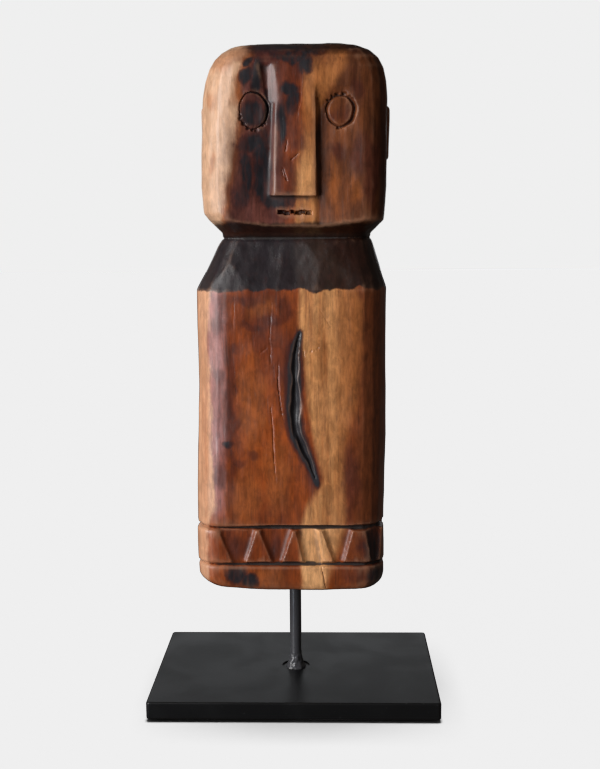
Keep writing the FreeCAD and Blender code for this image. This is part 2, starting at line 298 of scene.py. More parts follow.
class Wires:
    """Adds nodes to a tree and joins them, so that a finish reads as a short recipe."""

    def __init__(self, tree: bpy.types.NodeTree) -> None:
        """Takes the tree that nodes go into."""
        self.tree = tree

    def feed(self, socket: Socket, value: object) -> None:
        """Joins a socket to an input, or sets the input's own value."""
        if isinstance(value, bpy.types.NodeSocket):
            self.tree.links.new(value, socket)
        else:
            socket.default_value = value

    def node(self, kind: str, inputs: dict | None = None, **settings: object) -> bpy.types.Node:
        """Adds a node.

        Args:
            kind: the node's type name.
            inputs: input name or index to a socket or a value.
            settings: the node's properties.

        Returns:
            The node.
        """
        made = self.tree.nodes.new(kind)
        for key, value in settings.items():
            setattr(made, key, value)
        for key, value in (inputs or {}).items():
            self.feed(made.inputs[key], value)
        return made

    def math(self, operation: str, first: object, second: object = 0.0, third: object = 0.0,
             clamp: bool = False) -> Socket:
        """One math node's result."""
        inputs = {0: first, 1: second, 2: third}
        return self.node("ShaderNodeMath", inputs, operation=operation, use_clamp=clamp).outputs[0]

    def times(self, first: object, second: object) -> Socket:
        """The product of two values."""
        return self.math("MULTIPLY", first, second)

    def plus(self, first: object, second: object) -> Socket:
        """The sum of two values."""
        return self.math("ADD", first, second)

    def minus(self, first: object, second: object) -> Socket:
        """The first value less the second."""
        return self.math("SUBTRACT", first, second)

    def scale_add(self, value: object, factor: object, offset: object) -> Socket:
        """A value times a factor, plus an offset."""
        return self.math("MULTIPLY_ADD", value, factor, offset)

    def vector(self, operation: str, first: object, second: object = (0.0, 0.0, 0.0)) -> bpy.types.Node:
        """One vector math node."""
        return self.node("ShaderNodeVectorMath", {0: first, 1: second}, operation=operation)

    def mix(self, share: object, first: object, second: object, blend: str = "MIX") -> Socket:
        """A mix of two colours."""
        made = self.node("ShaderNodeMix", data_type="RGBA", blend_type=blend)
        for index, value in ((0, share), (6, first), (7, second)):
            self.feed(made.inputs[index], value)
        return made.outputs[2]

    def lay(self, colour: object, coat: object, mask: object, strength: float) -> Socket:
        """Lays a coat over a colour, at a strength where the mask is 1."""
        return self.mix(self.times(mask, strength), colour, coat)

    def noise(self, place: Socket, scale: Sequence[float], detail: float = 3.0,
              roughness: float = 0.5, distortion: float = 0.0) -> Socket:
        """Noise from 0 to 1 at a place in millimetres; scale is in turns per millimetre."""
        spread = self.vector("MULTIPLY", place, tuple(scale)).outputs[0]
        inputs = {"Vector": spread, "Scale": 1.0, "Detail": detail, "Roughness": roughness,
                  "Distortion": distortion}
        return self.node("ShaderNodeTexNoise", inputs).outputs[0]

    def span(self, value: object, low: object, high: object, start: float = 0.0,
             end: float = 1.0) -> Socket:
        """Maps low..high to start..end with a smooth step."""
        inputs = {0: value, 1: low, 2: high, 3: start, 4: end}
        return self.node("ShaderNodeMapRange", inputs, interpolation_type="SMOOTHSTEP").outputs[0]

    def ramp(self, value: object, stops: Sequence[tuple[float, Colour]]) -> Socket:
        """A colour ramp's colour."""
        made = self.node("ShaderNodeValToRGB", {0: value})
        elements = made.color_ramp.elements
        while len(elements) < len(stops):
            elements.new(0.5)
        for element, (position, colour) in zip(elements, sorted(stops)):
            element.position = position
            element.color = colour
        return made.outputs[0]

    def place(self) -> Socket:
        """Object coordinates in millimetres."""
        coordinates = self.node("ShaderNodeTexCoord").outputs["Object"]
        return self.vector("MULTIPLY", coordinates, (1 / MM,) * 3).outputs[0]

    def bump(self, height: Socket, depth: float, normal: Socket | None = None) -> Socket:
        """A bump from a height of 0 to 1 that stands for a depth in millimetres."""
        inputs = {"Height": height, "Distance": depth * MM, "Strength": 1.0}
        if normal:
            inputs["Normal"] = normal
        return self.node("ShaderNodeBump", inputs).outputs[0]


def start_group(name: str, takes: dict[str, str], gives: dict[str, str]
                ) -> tuple[bpy.types.NodeTree, Wires, dict, dict]:
    """Starts a shader node group.

    Args:
        name: the group's name.
        takes: input name to socket type, without NodeSocket.
        gives: output name to socket type.

    Returns:
        The group, its wires, its inputs by name, and its output sockets by name.
    """
    tree = bpy.data.node_groups.new(name, "ShaderNodeTree")
    for names, way in ((takes, "INPUT"), (gives, "OUTPUT")):
        for label, kind in names.items():
            tree.interface.new_socket(label, in_out=way, socket_type=f"NodeSocket{kind}")
    wires = Wires(tree)
    source, sink = wires.node("NodeGroupInput"), wires.node("NodeGroupOutput")
    return tree, wires, {n: source.outputs[n] for n in takes}, {n: sink.inputs[n] for n in gives}


def stain_group() -> bpy.types.NodeTree:
    """A soft-edged patch: an ellipsoid whose edge is made ragged by a value that is handed in."""
    takes = {"Place": "Vector", "Centre": "Vector", "Size": "Vector", "Ragged": "Float"}
    tree, wires, given, out = start_group("stain_patch", takes, {"Mask": "Float"})
    away = wires.vector("SUBTRACT", given["Place"], given["Centre"]).outputs[0]
    share = wires.vector("DIVIDE", away, given["Size"]).outputs[0]
    reach = wires.vector("LENGTH", share).outputs["Value"]
    wires.feed(out["Mask"], wires.span(wires.plus(reach, given["Ragged"]), 1.4, 0.4))
    return tree


def grain_group() -> bpy.types.NodeTree:
    """Wood grain that runs up: long streaks, and fine pores."""
    gives = {"Streaks": "Float", "Pores": "Float", "Height": "Float"}
    tree, wires, given, out = start_group("upright_grain", {"Place": "Vector"}, gives)
    bend = wires.noise(given["Place"], (0.02, 0.02, 0.009), detail=1.0)
    sideways = wires.node("ShaderNodeCombineXYZ", {0: wires.times(bend, 12.0)}).outputs[0]
    bent = wires.vector("ADD", given["Place"], sideways).outputs[0]
    streaks = wires.noise(bent, (0.16, 0.16, 0.010), detail=6.0, roughness=0.6)
    fine = wires.noise(bent, (1.3, 1.3, 0.035), detail=3.0, roughness=0.6)
    pores = wires.span(fine, 0.56, 0.72)
    height = wires.minus(streaks, wires.times(pores, 0.25))
    for name, value in (("Streaks", streaks), ("Pores", pores), ("Height", height)):
        wires.feed(out[name], value)
    return tree


def handling_group() -> bpy.types.NodeTree:
    """Smears and dust specks of a handled surface."""
    gives = {"Smear": "Float", "Specks": "Float"}
    tree, wires, given, out = start_group("handling_marks", {"Place": "Vector"}, gives)
    smear = wires.noise(given["Place"], (0.035, 0.035, 0.035), detail=4.0, distortion=0.6)
    specks = wires.noise(given["Place"], (0.9, 0.9, 0.9), detail=1.0)
    wires.feed(out["Smear"], wires.span(smear, 0.35, 0.68))
    wires.feed(out["Specks"], wires.span(specks, 0.7, 0.76))
    return tree


class Finish:
    """A finish makes one material, once, from its own recipe; its name goes into the material's name."""

    name = "finish"

    def material(self) -> bpy.types.Material:
        """The finish's material, made on first use."""
        title = f"{self.name}_finish"
        known = bpy.data.materials.get(title)
        if known:
            return known
        made = bpy.data.materials.new(title)
        made.use_nodes = True
        made.node_tree.nodes.clear()
        wires = Wires(made.node_tree)
        shader = wires.node("ShaderNodeBsdfPrincipled")
        sink = wires.node("ShaderNodeOutputMaterial")
        wires.feed(sink.inputs["Surface"], shader.outputs[0])
        self.recipe(wires, shader)
        return made

    def recipe(self, wires: Wires, shader: bpy.types.Node) -> None:
        """Fills in the shader; each finish has its own."""
        raise NotImplementedError

    @staticmethod
    def group(wires: Wires, tree: bpy.types.NodeTree, inputs: dict) -> bpy.types.Node:
        """Places a node group."""
        made = wires.node("ShaderNodeGroup", node_tree=tree)
        for key, value in inputs.items():
            wires.feed(made.inputs[key], value)
        return made


def dress(piece: bpy.types.Object, finish: Finish) -> None:
    """Gives a piece one finish all over."""
    piece.data.materials.clear()
    piece.data.materials.append(finish.material())


@dataclass(frozen=True)
class Patch:
    """A stain or a painted shadow on the wood: its centre and half sizes, in millimetres, centre above the
    sole.
    """

    centre: tuple[float, float, float]
    size: tuple[float, float, float]


@dataclass(frozen=True)
class Survey:
    """What the wood's layers share: places in millimetres above the sole, grain and how a line wanders."""

    place: Socket
    above: Socket
    across: Socket
    height: Socket
    streaks: Socket
    pores: Socket
    relief: Socket
    wander: Socket
    bent: Socket
    in_head: Socket


@dataclass(frozen=True)
class OldWood(Finish):
    """Waxed wood with pale sapwood on the left, red heartwood, a golden stripe, black stains, and painted
    sheen and shade.

    A boundary between two colours is a row of points: height above the sole, then place across.
    """

    name: str = "old_wood"
    sole: float = 62.5
    sapwood: Colour = rgb(0.60, 0.32, 0.185)
    sapwood_deep: Colour = rgb(0.47, 0.20, 0.10)
    # Paler sapwood on the head: the wood's own tone with a painted whitish sheen.
    sapwood_and_painted_sheen: Colour = rgb(0.60, 0.365, 0.225)
    plum: Colour = rgb(0.105, 0.038, 0.034)
    heart_light: Colour = rgb(0.285, 0.058, 0.009)
    heart_dark: Colour = rgb(0.15, 0.029, 0.008)
    gold: Colour = rgb(0.62, 0.285, 0.105)
    gold_deep: Colour = rgb(0.33, 0.11, 0.030)
    # Darker wood on the torso's right, partly painted shade of the side turned from the light.
    shade: Colour = rgb(0.18, 0.047, 0.014)
    walnut: Colour = rgb(0.065, 0.019, 0.007)
    walnut_light: Colour = rgb(0.19, 0.057, 0.019)
    charcoal: Colour = rgb(0.012, 0.0138, 0.0178)
    dark_red: Colour = rgb(0.062, 0.014, 0.010)
    # Dark grime and painted shade, laid into the hollows and the skirt's grooves.
    grime_and_painted_shade: Colour = rgb(0.014, 0.010, 0.009)
    rubbed: Colour = rgb(0.62, 0.33, 0.2)
    soot_brown: Colour = rgb(0.013, 0.005, 0.003)
    gold_bright: Colour = rgb(0.86, 0.47, 0.21)
    # A painted lavender sheen: the window's reflection on the torso's rounded left corner.
    painted_sheen: Colour = rgb(0.335, 0.15, 0.145)
    amber: Colour = rgb(0.33, 0.095, 0.022)
    # Near black under the jaw: soot and painted shade.
    soot_and_painted_shade: Colour = rgb(0.012, 0.004, 0.002)
    char_blue: Colour = rgb(0.019, 0.021, 0.026)
    groove_levels: tuple[float, float] = (34.4, 15.3)
    neck_band: tuple[float, float] = (156.4, 182.4)
    crown: float = 271.5
    sap_line: tuple[tuple[float, float], ...] = (
        (0, -44), (36, -43), (46, -38), (80, -41), (130, -42), (156, -40), (183, -35), (205, -32), (225, -27),
        (243, -25), (259, -26), (270, -20))
    gold_from: tuple[tuple[float, float], ...] = (
        (0, 5), (35, 7), (60, 13), (85, 9), (125, 4), (150, 4), (190, 2), (235, 7), (276, 9))
    gold_to: tuple[tuple[float, float], ...] = (
        (0, 17), (35, 26), (60, 27), (100, 33), (150, 36), (190, 13), (240, 14), (262, 28), (276, 31))
    charred_and_painted_shadow: tuple[Patch, ...] = (
        Patch((8, 2, 283), (27, 60, 15)),
        Patch((30, 2, 286), (36, 60, 15)),
        # Painted shadow: the dark valley left of the nose's facet.
        Patch((-14.5, -34, 259), (2.8, 12, 10)),
        # Painted shadow cast by the left eye's disc onto the cheek beside it.
        Patch((-9.5, -34, 243), (3.4, 10, 9)),
        Patch((-18, -34, 228), (7, 10, 6)),
        Patch((-22, -34, 214), (4, 10, 9)),
        Patch((-13.5, -34, 215), (4.5, 10, 22)),
        Patch((-22.5, -34, 203), (4.5, 9, 8)),
        Patch((-7, -34, 198.5), (10, 9, 4)),
        Patch((-17.4, -34, 243), (5.6, 10, 7.4)),
        Patch((-19.6, -34, 265.6), (2.6, 9, 1.8)),
        Patch((-19.6, -34, 259.6), (3.8, 9, 3.2)),
        Patch((7, -34, 267), (4.6, 9, 4.6)),
        Patch((-2, -34, 269), (7, 9, 3)),
        Patch((5, -34, 271), (13, 9, 3.6)),
        Patch((2.6, -34, 246), (3, 9, 7)),
        Patch((1, -34, 253), (4.0, 9, 3.6)),
        Patch((-2.8, -34, 238), (2.8, 9, 12)),
        Patch((-29, -33, 11.0), (6.5, 12, 4.6)),
        Patch((-22, -33, 6.5), (5.5, 12, 4.0)),
        # These two are painted shade on the right end of the skirt band, in its recess.
        Patch((42, -31, 25), (6, 9, 11)),
        Patch((44, -30, 8), (9, 11, 7.5)),
        Patch((-31.7, -33, 77.4), (2.4, 9, 2.4)),
        Patch((20, 33, 92), (10, 9, 22)),
        Patch((-12, 32, 262), (16, 9, 9)),
        Patch((-49, 16, 130), (7, 9, 26)),
        Patch((49, 5, 70), (8, 12, 30)),
    )
    reddened_and_painted_shade: tuple[Patch, ...] = (
        Patch((-17.4, -34, 243), (7.5, 10, 9)),
        Patch((24.9, -34, 242), (6, 10, 6)),
        Patch((-3, -33, 146), (5, 9, 6)),
        Patch((-10, -33, 142), (8, 9, 2.4)),
        Patch((-19, -33, 139), (6, 9, 2.0)),
        Patch((-19.8, -33, 71.5), (3.6, 9, 2.2)),
        Patch((-28.7, -33, 68.3), (3.6, 9, 2.2)),
        Patch((-29, -33, 106), (2.4, 9, 4)),
        Patch((-28, -33, 88), (2.4, 9, 3)),
        Patch((-29, -33, 126), (4, 9, 3)),
        Patch((-31, -33, 96), (2.6, 9, 50)),
        Patch((-22, -33, 151), (14, 9, 3)),
        Patch((-1, -33, 112), (4, 9, 26)),
        Patch((11, -33, 62), (3.6, 9, 9)),
        Patch((30, -33, 60), (5, 9, 20)),
        Patch((-36.5, -33, 139), (3, 9, 8)),
        Patch((-37, -33, 114), (3, 9, 5)),
        Patch((-37, -33, 62), (3, 9, 6)),
        Patch((39, -31, 9), (9, 9, 8)),
        # Painted shade on the right end of the skirt band.
        Patch((38, -33, 25), (5, 9, 9)),
        Patch((0, -34, 262), (7, 9, 9)),
        Patch((-1, -34, 210), (4, 9, 10)),
        Patch((-24, -34, 214), (8, 9, 26)),
        Patch((-10, -34, 222), (9, 9, 30)),
        Patch((-1, -34, 246), (6.5, 9, 24)),
        Patch((5, -34, 227), (5, 9, 5)),
        Patch((-8, -34, 268), (15, 9, 6)),
        Patch((12, -34, 268), (12, 9, 5)),
        Patch((24, -34, 223.5), (5.5, 9, 3.4)),
        Patch((36, -34, 222), (5, 9, 12)),
        Patch((33, -34, 252), (4, 9, 5)),
        Patch((40, -34, 212), (4, 9, 22)),
        Patch((-8, -34, 193), (12, 9, 4)),
        Patch((-28, -33, 25), (7, 9, 8)),
        Patch((-8, -33, 25), (4, 9, 7)),
        Patch((36, -33, 10), (10, 9, 8)),
        Patch((-30, 33, 110), (9, 9, 34)),
        Patch((24, 33, 225), (10, 9, 18)),
    )
    ambered: tuple[Patch, ...] = (
        Patch((-23, -34, 270), (9, 9, 5)),
        Patch((-25, -34, 251), (3, 9, 5)),
        Patch((10, -34, 238), (4, 9, 5)),
        Patch((-33, -30, 266), (7, 14, 5)),
        Patch((-37, -29, 218), (1.8, 12, 6)),
        Patch((-38, -29, 247), (3, 12, 4)),
        Patch((-46, 8, 70), (5, 16, 30)),
        Patch((33, -34, 206), (3, 9, 8)),
        Patch((22, -34, 208), (3.6, 9, 12)),
        Patch((-20, -33, 98), (7, 9, 26)),
        Patch((-14, -33, 148), (7, 9, 5)),
        Patch((-8, -33, 60), (7, 9, 20)),
        Patch((-24, -33, 50), (8, 9, 15)),
        Patch((-12, -33, 8), (9, 9, 7)),
        Patch((24, 33, 140), (9, 9, 30)),
    )

    def recipe(self, wires: Wires, shader: bpy.types.Node) -> None:
        """Layers the wood's colours with painted sheen and shade, then stains and painted shadows, scorching,
        and wear with painted shade in the hollows, then gloss and grain relief.
        """
        over = self.survey(wires)
        walnut_mask = wires.times(over.in_head, wires.span(over.bent, 6.0, 18.0))
        timber, sap_mask = self.timber(wires, over, walnut_mask)
        swing = self.mottle(wires, over, sap_mask)
        colour = wires.mix(1.0, self.stains(wires, timber, over), swing, "MULTIPLY")
        hollow, edge, scar = (wires.node("ShaderNodeAttribute", attribute_name=name).outputs["Fac"]
                              for name in ("hollow", "edge", "scar"))
        colour = self.scorched(wires, colour, over, scar)
        wires.feed(shader.inputs["Base Color"], self.worn(wires, colour, over, hollow, edge))

        marks = self.group(wires, handling_group(), {"Place": over.place})
        gloss = wires.scale_add(marks.outputs["Smear"], 0.15, 0.33)
        gloss = wires.math("ADD", gloss, wires.times(hollow, 0.3), clamp=True)
        wires.feed(shader.inputs["Roughness"], gloss)
        wires.feed(shader.inputs["Specular IOR Level"], wires.scale_add(walnut_mask, -0.3, 0.46))
        shader.inputs["Coat Weight"].default_value = 0.09
        shader.inputs["Coat Roughness"].default_value = 0.3
        hewn = wires.bump(wires.noise(over.place, (0.13, 0.13, 0.08), 2.0), 0.45)
        wires.feed(shader.inputs["Normal"], wires.bump(over.relief, 0.09, normal=hewn))

    def survey(self, wires: Wires) -> Survey:
        """Works out the values that the layers share."""
        place = wires.place()
        above = wires.vector("SUBTRACT", place, (0.0, 0.0, self.sole)).outputs[0]
        parts = wires.node("ShaderNodeSeparateXYZ", {0: above})
        across, height = parts.outputs[0], parts.outputs[2]
        grain = self.group(wires, grain_group(), {"Place": place})
        wander = wires.scale_add(wires.noise(place, (0.05, 0.05, 0.016), 4.0), 16.0, -8.0)
        return Survey(place, above, across, height, grain.outputs["Streaks"], grain.outputs["Pores"],
                      grain.outputs["Height"], wander, wires.plus(across, wander),
                      wires.span(height, 181.0, 189.0))

    def timber(self, wires: Wires, over: Survey, walnut_mask: Socket) -> tuple[Socket, Socket]:
        """The wood under its stains, from the heartwood out to the gold and the sapwood, with painted shade
        on the torso's right and painted sheen on its left corner and the head's sapwood.

        Args:
            wires: the material's wires.
            over: the shared values.
            walnut_mask: where the head's dark, dry wood is.

        Returns:
            The wood's colour, and the mask of its sapwood.
        """
        blotch = wires.noise(over.place, (0.035, 0.035, 0.014), 3.0, 0.55)
        flame = wires.scale_add(blotch, 1.1, wires.scale_add(over.streaks, 0.7, -0.4))
        colour = wires.mix(wires.span(flame, 0.3, 0.68), self.heart_dark, self.heart_light)
        in_body = wires.minus(1.0, over.in_head)
        # Painted shade, with darker wood, on the torso's right side, which is turned from the light.
        colour = wires.mix(wires.times(wires.times(wires.span(over.bent, 26.0, 37.0), 0.95), in_body),
                           colour, self.shade)
        walnut = wires.mix(wires.span(flame, 0.3, 0.75), self.walnut, self.walnut_light)
        colour = wires.mix(walnut_mask, colour, walnut)
        plum_mask = wires.times(over.in_head, wires.span(over.bent, 2.0, -8.0))
        colour = wires.lay(colour, self.plum, plum_mask, 0.8)

        torn = wires.scale_add(wires.noise(over.place, (0.25, 0.25, 0.08), 5.0, 0.65), 7.0, -3.5)
        torn = wires.scale_add(over.wander, 0.35, wires.plus(over.across, torn))
        # Painted sheen: the window's lavender reflection along the torso's left corner, laid into the colour.
        sheen_mask = wires.times(wires.span(torn, -31.0, -36.5), wires.span(over.height, 36.0, 46.0))
        sheen_mask = wires.times(sheen_mask, wires.span(over.height, 186.0, 150.0))
        colour = wires.lay(colour, self.painted_sheen, sheen_mask, 0.6)
        gold_mask, gold = self.stripe(wires, over)
        colour = wires.mix(gold_mask, colour, gold)

        sap_edge = self.edge_by_height(wires, over.height, self.sap_line)
        seam = wires.span(torn, wires.plus(sap_edge, 4.5), wires.plus(sap_edge, 0.5))
        colour = wires.lay(colour, self.amber, wires.times(seam, over.in_head), 0.75)
        sap = wires.mix(wires.span(over.streaks, 0.25, 0.6), self.sapwood_deep, self.sapwood)
        # The head's sapwood is paler: partly its own tone, partly a painted whitish sheen.
        sap = wires.lay(sap, self.sapwood_and_painted_sheen, over.in_head, 0.85)
        sap_mask = wires.span(torn, wires.plus(sap_edge, 1.4), wires.minus(sap_edge, 1.8))
        return wires.mix(sap_mask, colour, sap), sap_mask

    def stripe(self, wires: Wires, over: Survey) -> tuple[Socket, Socket]:
        """The golden stripe's mask and its colour."""
        left = self.edge_by_height(wires, over.height, self.gold_from)
        right = self.edge_by_height(wires, over.height, self.gold_to)
        mask = wires.times(wires.span(over.bent, wires.minus(left, 2.0), wires.plus(left, 2.0)),
                           wires.span(over.bent, wires.plus(right, 3.0), wires.minus(right, 3.0)))
        gold = wires.mix(wires.span(over.streaks, 0.3, 0.62), self.gold_deep, self.gold)
        upper_nose = wires.times(wires.span(over.height, 214.0, 232.0), 0.85)
        deep = wires.math("MAXIMUM", wires.span(over.bent, 16.0, 32.0), upper_nose)
        gold = wires.mix(deep, gold, self.gold_deep)
        low = wires.times(wires.span(over.height, 38.0, 32.0), wires.span(over.bent, 22.0, 13.0))
        return mask, wires.lay(gold, self.gold_bright, low, 0.55)

    @staticmethod
    def mottle(wires: Wires, over: Survey, sap_mask: Socket) -> Socket:
        """How much darker or lighter the wood is from spot to spot, calmer in the sapwood."""
        cloud = wires.noise(over.place, (0.24, 0.24, 0.12), 6.0, 0.7, 0.5)
        flecks = wires.noise(over.place, (1.0, 1.0, 0.13), 4.0, 0.65)
        swing = wires.times(wires.span(cloud, 0.32, 0.66, 0.72, 1.2),
                            wires.span(flecks, 0.36, 0.62, 0.87, 1.1))
        swing = wires.times(swing, wires.scale_add(over.pores, -0.3, 1.0))
        return wires.scale_add(wires.minus(swing, 1.0), wires.scale_add(sap_mask, -0.35, 1.0), 1.0)

    def scorched(self, wires: Wires, colour: Socket, over: Survey, scar: Socket) -> Socket:
        """Reddens and then chars the wood beside the wide crack."""
        burn = wires.scale_add(wires.noise(over.place, (0.3, 0.3, 0.14), 5.0, 0.65), 0.9, scar)
        colour = wires.lay(colour, self.dark_red, wires.span(burn, 0.45, 0.95), 0.85)
        return wires.lay(colour, self.char_blue, wires.span(burn, 0.95, 1.3), 0.95)

    def worn(self, wires: Wires, colour: Socket, over: Survey, hollow: Socket, edge: Socket) -> Socket:
        """Rubs the edges pale and darkens the hollows and the skirt's grooves with grime and painted shade.
        """
        grooves = wires.math("MAXIMUM", *(
            wires.span(wires.math("ABSOLUTE", wires.minus(over.height, level)), 1.5, 0.8)
            for level in self.groove_levels))
        grooves = wires.times(grooves, wires.span(hollow, 0.02, 0.3))
        colour = wires.lay(colour, self.rubbed, edge, 0.22)
        # The hollows and the grooves get grime and painted shade.
        colour = wires.lay(colour, self.grime_and_painted_shade, hollow, 0.75)
        return wires.lay(colour, self.grime_and_painted_shade, grooves, 0.9)

    def stains(self, wires: Wires, colour: Socket, over: Survey) -> Socket:
        """Lays over the wood the amber, red and charred stains, some painted shadows and shade among them,
        the dark neck and crown, and soot and painted shade under the jaw.

        Args:
            wires: the material's wires.
            colour: the wood's colour.
            over: the shared values.

        Returns:
            The stained colour.
        """
        ragged = wires.scale_add(wires.noise(over.place, (0.2, 0.2, 0.11), 6.0, 0.65), 1.6, -0.8)
        stretched = wires.vector("MULTIPLY", over.place, (0.075, 0.075, 0.05)).outputs[0]
        swirl = wires.node("ShaderNodeTexNoise", {"Vector": stretched, "Scale": 1.0, "Detail": 3.0})
        drift = wires.vector("SUBTRACT", swirl.outputs["Color"], (0.5, 0.5, 0.5)).outputs[0]
        drift = wires.vector("MULTIPLY", drift, (9.0, 5.0, 13.0)).outputs[0]
        warped = wires.vector("ADD", over.above, drift).outputs[0]
        patch = stain_group()
        reddened_and_painted_shade, charred_and_painted_shadow, ambered = (self.patch_mask(wires, patch, patches, warped, ragged)
                                      for patches in (self.reddened_and_painted_shade, self.charred_and_painted_shadow, self.ambered))
        colour = wires.lay(colour, self.amber, ambered, 0.5)
        colour = wires.lay(colour, self.dark_red, reddened_and_painted_shade, 0.62)

        rough_height = wires.scale_add(ragged, 2.4, over.height)
        rough_across = wires.scale_add(ragged, 9.0, over.across)
        band = self.dark_bands(wires, over, rough_height, rough_across)
        fringe = wires.math("MAXIMUM", wires.span(charred_and_painted_shadow, 0.02, 0.45), band)
        colour = wires.lay(colour, self.dark_red, fringe, 0.72)
        uneven = wires.span(wires.noise(over.place, (0.34, 0.34, 0.07), 4.0, 0.6), 0.36, 0.56, 0.45, 0.95)
        colour = wires.mix(wires.times(wires.span(charred_and_painted_shadow, 0.25, 0.95), uneven), colour, self.charcoal)
        browned = wires.mix(wires.span(rough_across, -8.0, 26.0), self.charcoal, self.soot_brown)
        colour = wires.lay(colour, browned, band, 0.92)
        high = self.neck_band[1]
        # Under the jaw the colour goes near black: soot and painted shade.
        jaw = wires.times(wires.span(rough_height, high - 2.0, high),
                          wires.span(rough_height, high + 7.6, high + 5.6))
        return wires.lay(colour, self.soot_and_painted_shade, jaw, 0.9)

    def dark_bands(self, wires: Wires, over: Survey, rough_height: Socket, rough_across: Socket) -> Socket:
        """The mask of the blackened neck, scalloped at its foot, and of the dark crown."""
        low, high = self.neck_band
        scallop = wires.scale_add(wires.noise(over.place, (0.11, 0.11, 0.0), 1.0), 7.0, low - 4.4)
        neck = wires.times(wires.span(wires.minus(rough_height, scallop), 0.0, 1.2),
                           wires.span(rough_height, high + 3.0, high - 1.0))
        crown = wires.times(wires.span(rough_height, self.crown - 3.0, self.crown + 1.5),
                            wires.span(rough_across, -26.0, -16.0))
        return wires.math("MAXIMUM", neck, wires.times(crown, 0.9))

    @staticmethod
    def edge_by_height(wires: Wires, height: Socket, points: Sequence[tuple[float, float]]) -> Socket:
        """A colour boundary's place across the figure, in millimetres, at each height."""
        reach, shift = 300.0, 50.0
        stops = [(level / reach, rgb(*((value + shift) / (2 * shift),) * 3)) for level, value in points]
        grey = wires.ramp(wires.math("DIVIDE", height, reach), stops)
        return wires.scale_add(grey, 2 * shift, -shift)

    @staticmethod
    def patch_mask(wires: Wires, tree: bpy.types.NodeTree, patches: Iterable[Patch], above: Socket,
                   ragged: Socket) -> Socket:
        """The largest mask of several patches."""
        mask: object = 0.0
        for patch in patches:
            inputs = {"Place": above, "Centre": patch.centre, "Size": patch.size, "Ragged": ragged}
            placed = Finish.group(wires, tree, inputs)
            mask = wires.math("MAXIMUM", placed.outputs["Mask"], mask)
        return mask


@dataclass(frozen=True)
class BlackPaint(Finish):
    """Black paint or powder coat over steel."""

    name: str = "black_plate"
    colour: Colour = rgb(0.0035, 0.0038, 0.0044)
    worn: Colour = rgb(0.05, 0.05, 0.052)
    roughness: float = 0.32
    pebble: float = 1.1
    pebble_depth: float = 0.02

    def recipe(self, wires: Wires, shader: bpy.types.Node) -> None:
        """A near-black coat with a fine pebbled skin, smears and a few specks."""
        place = wires.place()
        marks = self.group(wires, handling_group(), {"Place": place})
        colour = wires.lay(self.colour, self.worn, marks.outputs["Specks"], 0.5)
        wires.feed(shader.inputs["Base Color"], colour)
        gloss = wires.scale_add(marks.outputs["Smear"], 0.07, self.roughness)
        wires.feed(shader.inputs["Roughness"], gloss)
        skin = wires.noise(place, (self.pebble,) * 3, 2.0)
        wires.feed(shader.inputs["Normal"], wires.bump(skin, self.pebble_depth))


@dataclass(frozen=True)
class Felt(Finish):
    """Pressed dark felt with loose fibres."""

    name: str = "felt"
    light: Colour = rgb(0.07, 0.07, 0.075)
    dark: Colour = rgb(0.018, 0.018, 0.02)

    def recipe(self, wires: Wires, shader: bpy.types.Node) -> None:
        """Mottled fibres, quite rough, with a little sheen."""
        place = wires.place()
        fibres = wires.noise(place, (2.2, 2.2, 2.2), 5.0, 0.7, 1.5)
        wires.feed(shader.inputs["Base Color"], wires.mix(fibres, self.dark, self.light))
        wires.feed(shader.inputs["Normal"], wires.bump(fibres, 0.3))
        shader.inputs["Roughness"].default_value = 0.95
        shader.inputs["Sheen Weight"].default_value = 0.4


@dataclass(frozen=True)
class DrawnBrass(Finish):
    """Dull drawn brass tube."""

    name: str = "sleeve_brass"
    bright: Colour = rgb(0.72, 0.5, 0.2)
    dull: Colour = rgb(0.36, 0.22, 0.09)

    def recipe(self, wires: Wires, shader: bpy.types.Node) -> None:
        """Long drawing lines and tarnish."""
        place = wires.place()
        lines = wires.noise(place, (3.0, 3.0, 0.05), 3.0)
        tarnish = wires.noise(place, (0.2, 0.2, 0.1), 3.0)
        colour = wires.mix(wires.span(tarnish, 0.4, 0.7), self.bright, self.dull)
        wires.feed(shader.inputs["Base Color"], colour)
        wires.feed(shader.inputs["Roughness"], wires.scale_add(lines, 0.25, 0.25))
        wires.feed(shader.inputs["Normal"], wires.bump(lines, 0.01))
        shader.inputs["Metallic"].default_value = 1.0


# ---------------------------------------------------------------- the figure


@dataclass(frozen=True)
class Level:
    """One level outline: height above the sole, then how far it reaches each way from the rod."""

    height: float
    left: float
    right: float
    front: float
    back: float


@dataclass
class Eye:
    """One eye: centre, half sizes, ring width, where the ring is widest, and knife chips, in degrees."""

    across: float
    height: float
    half_wide: float
    half_high: float
    ring: float
    heavy: float
    chips: tuple[float, ...]


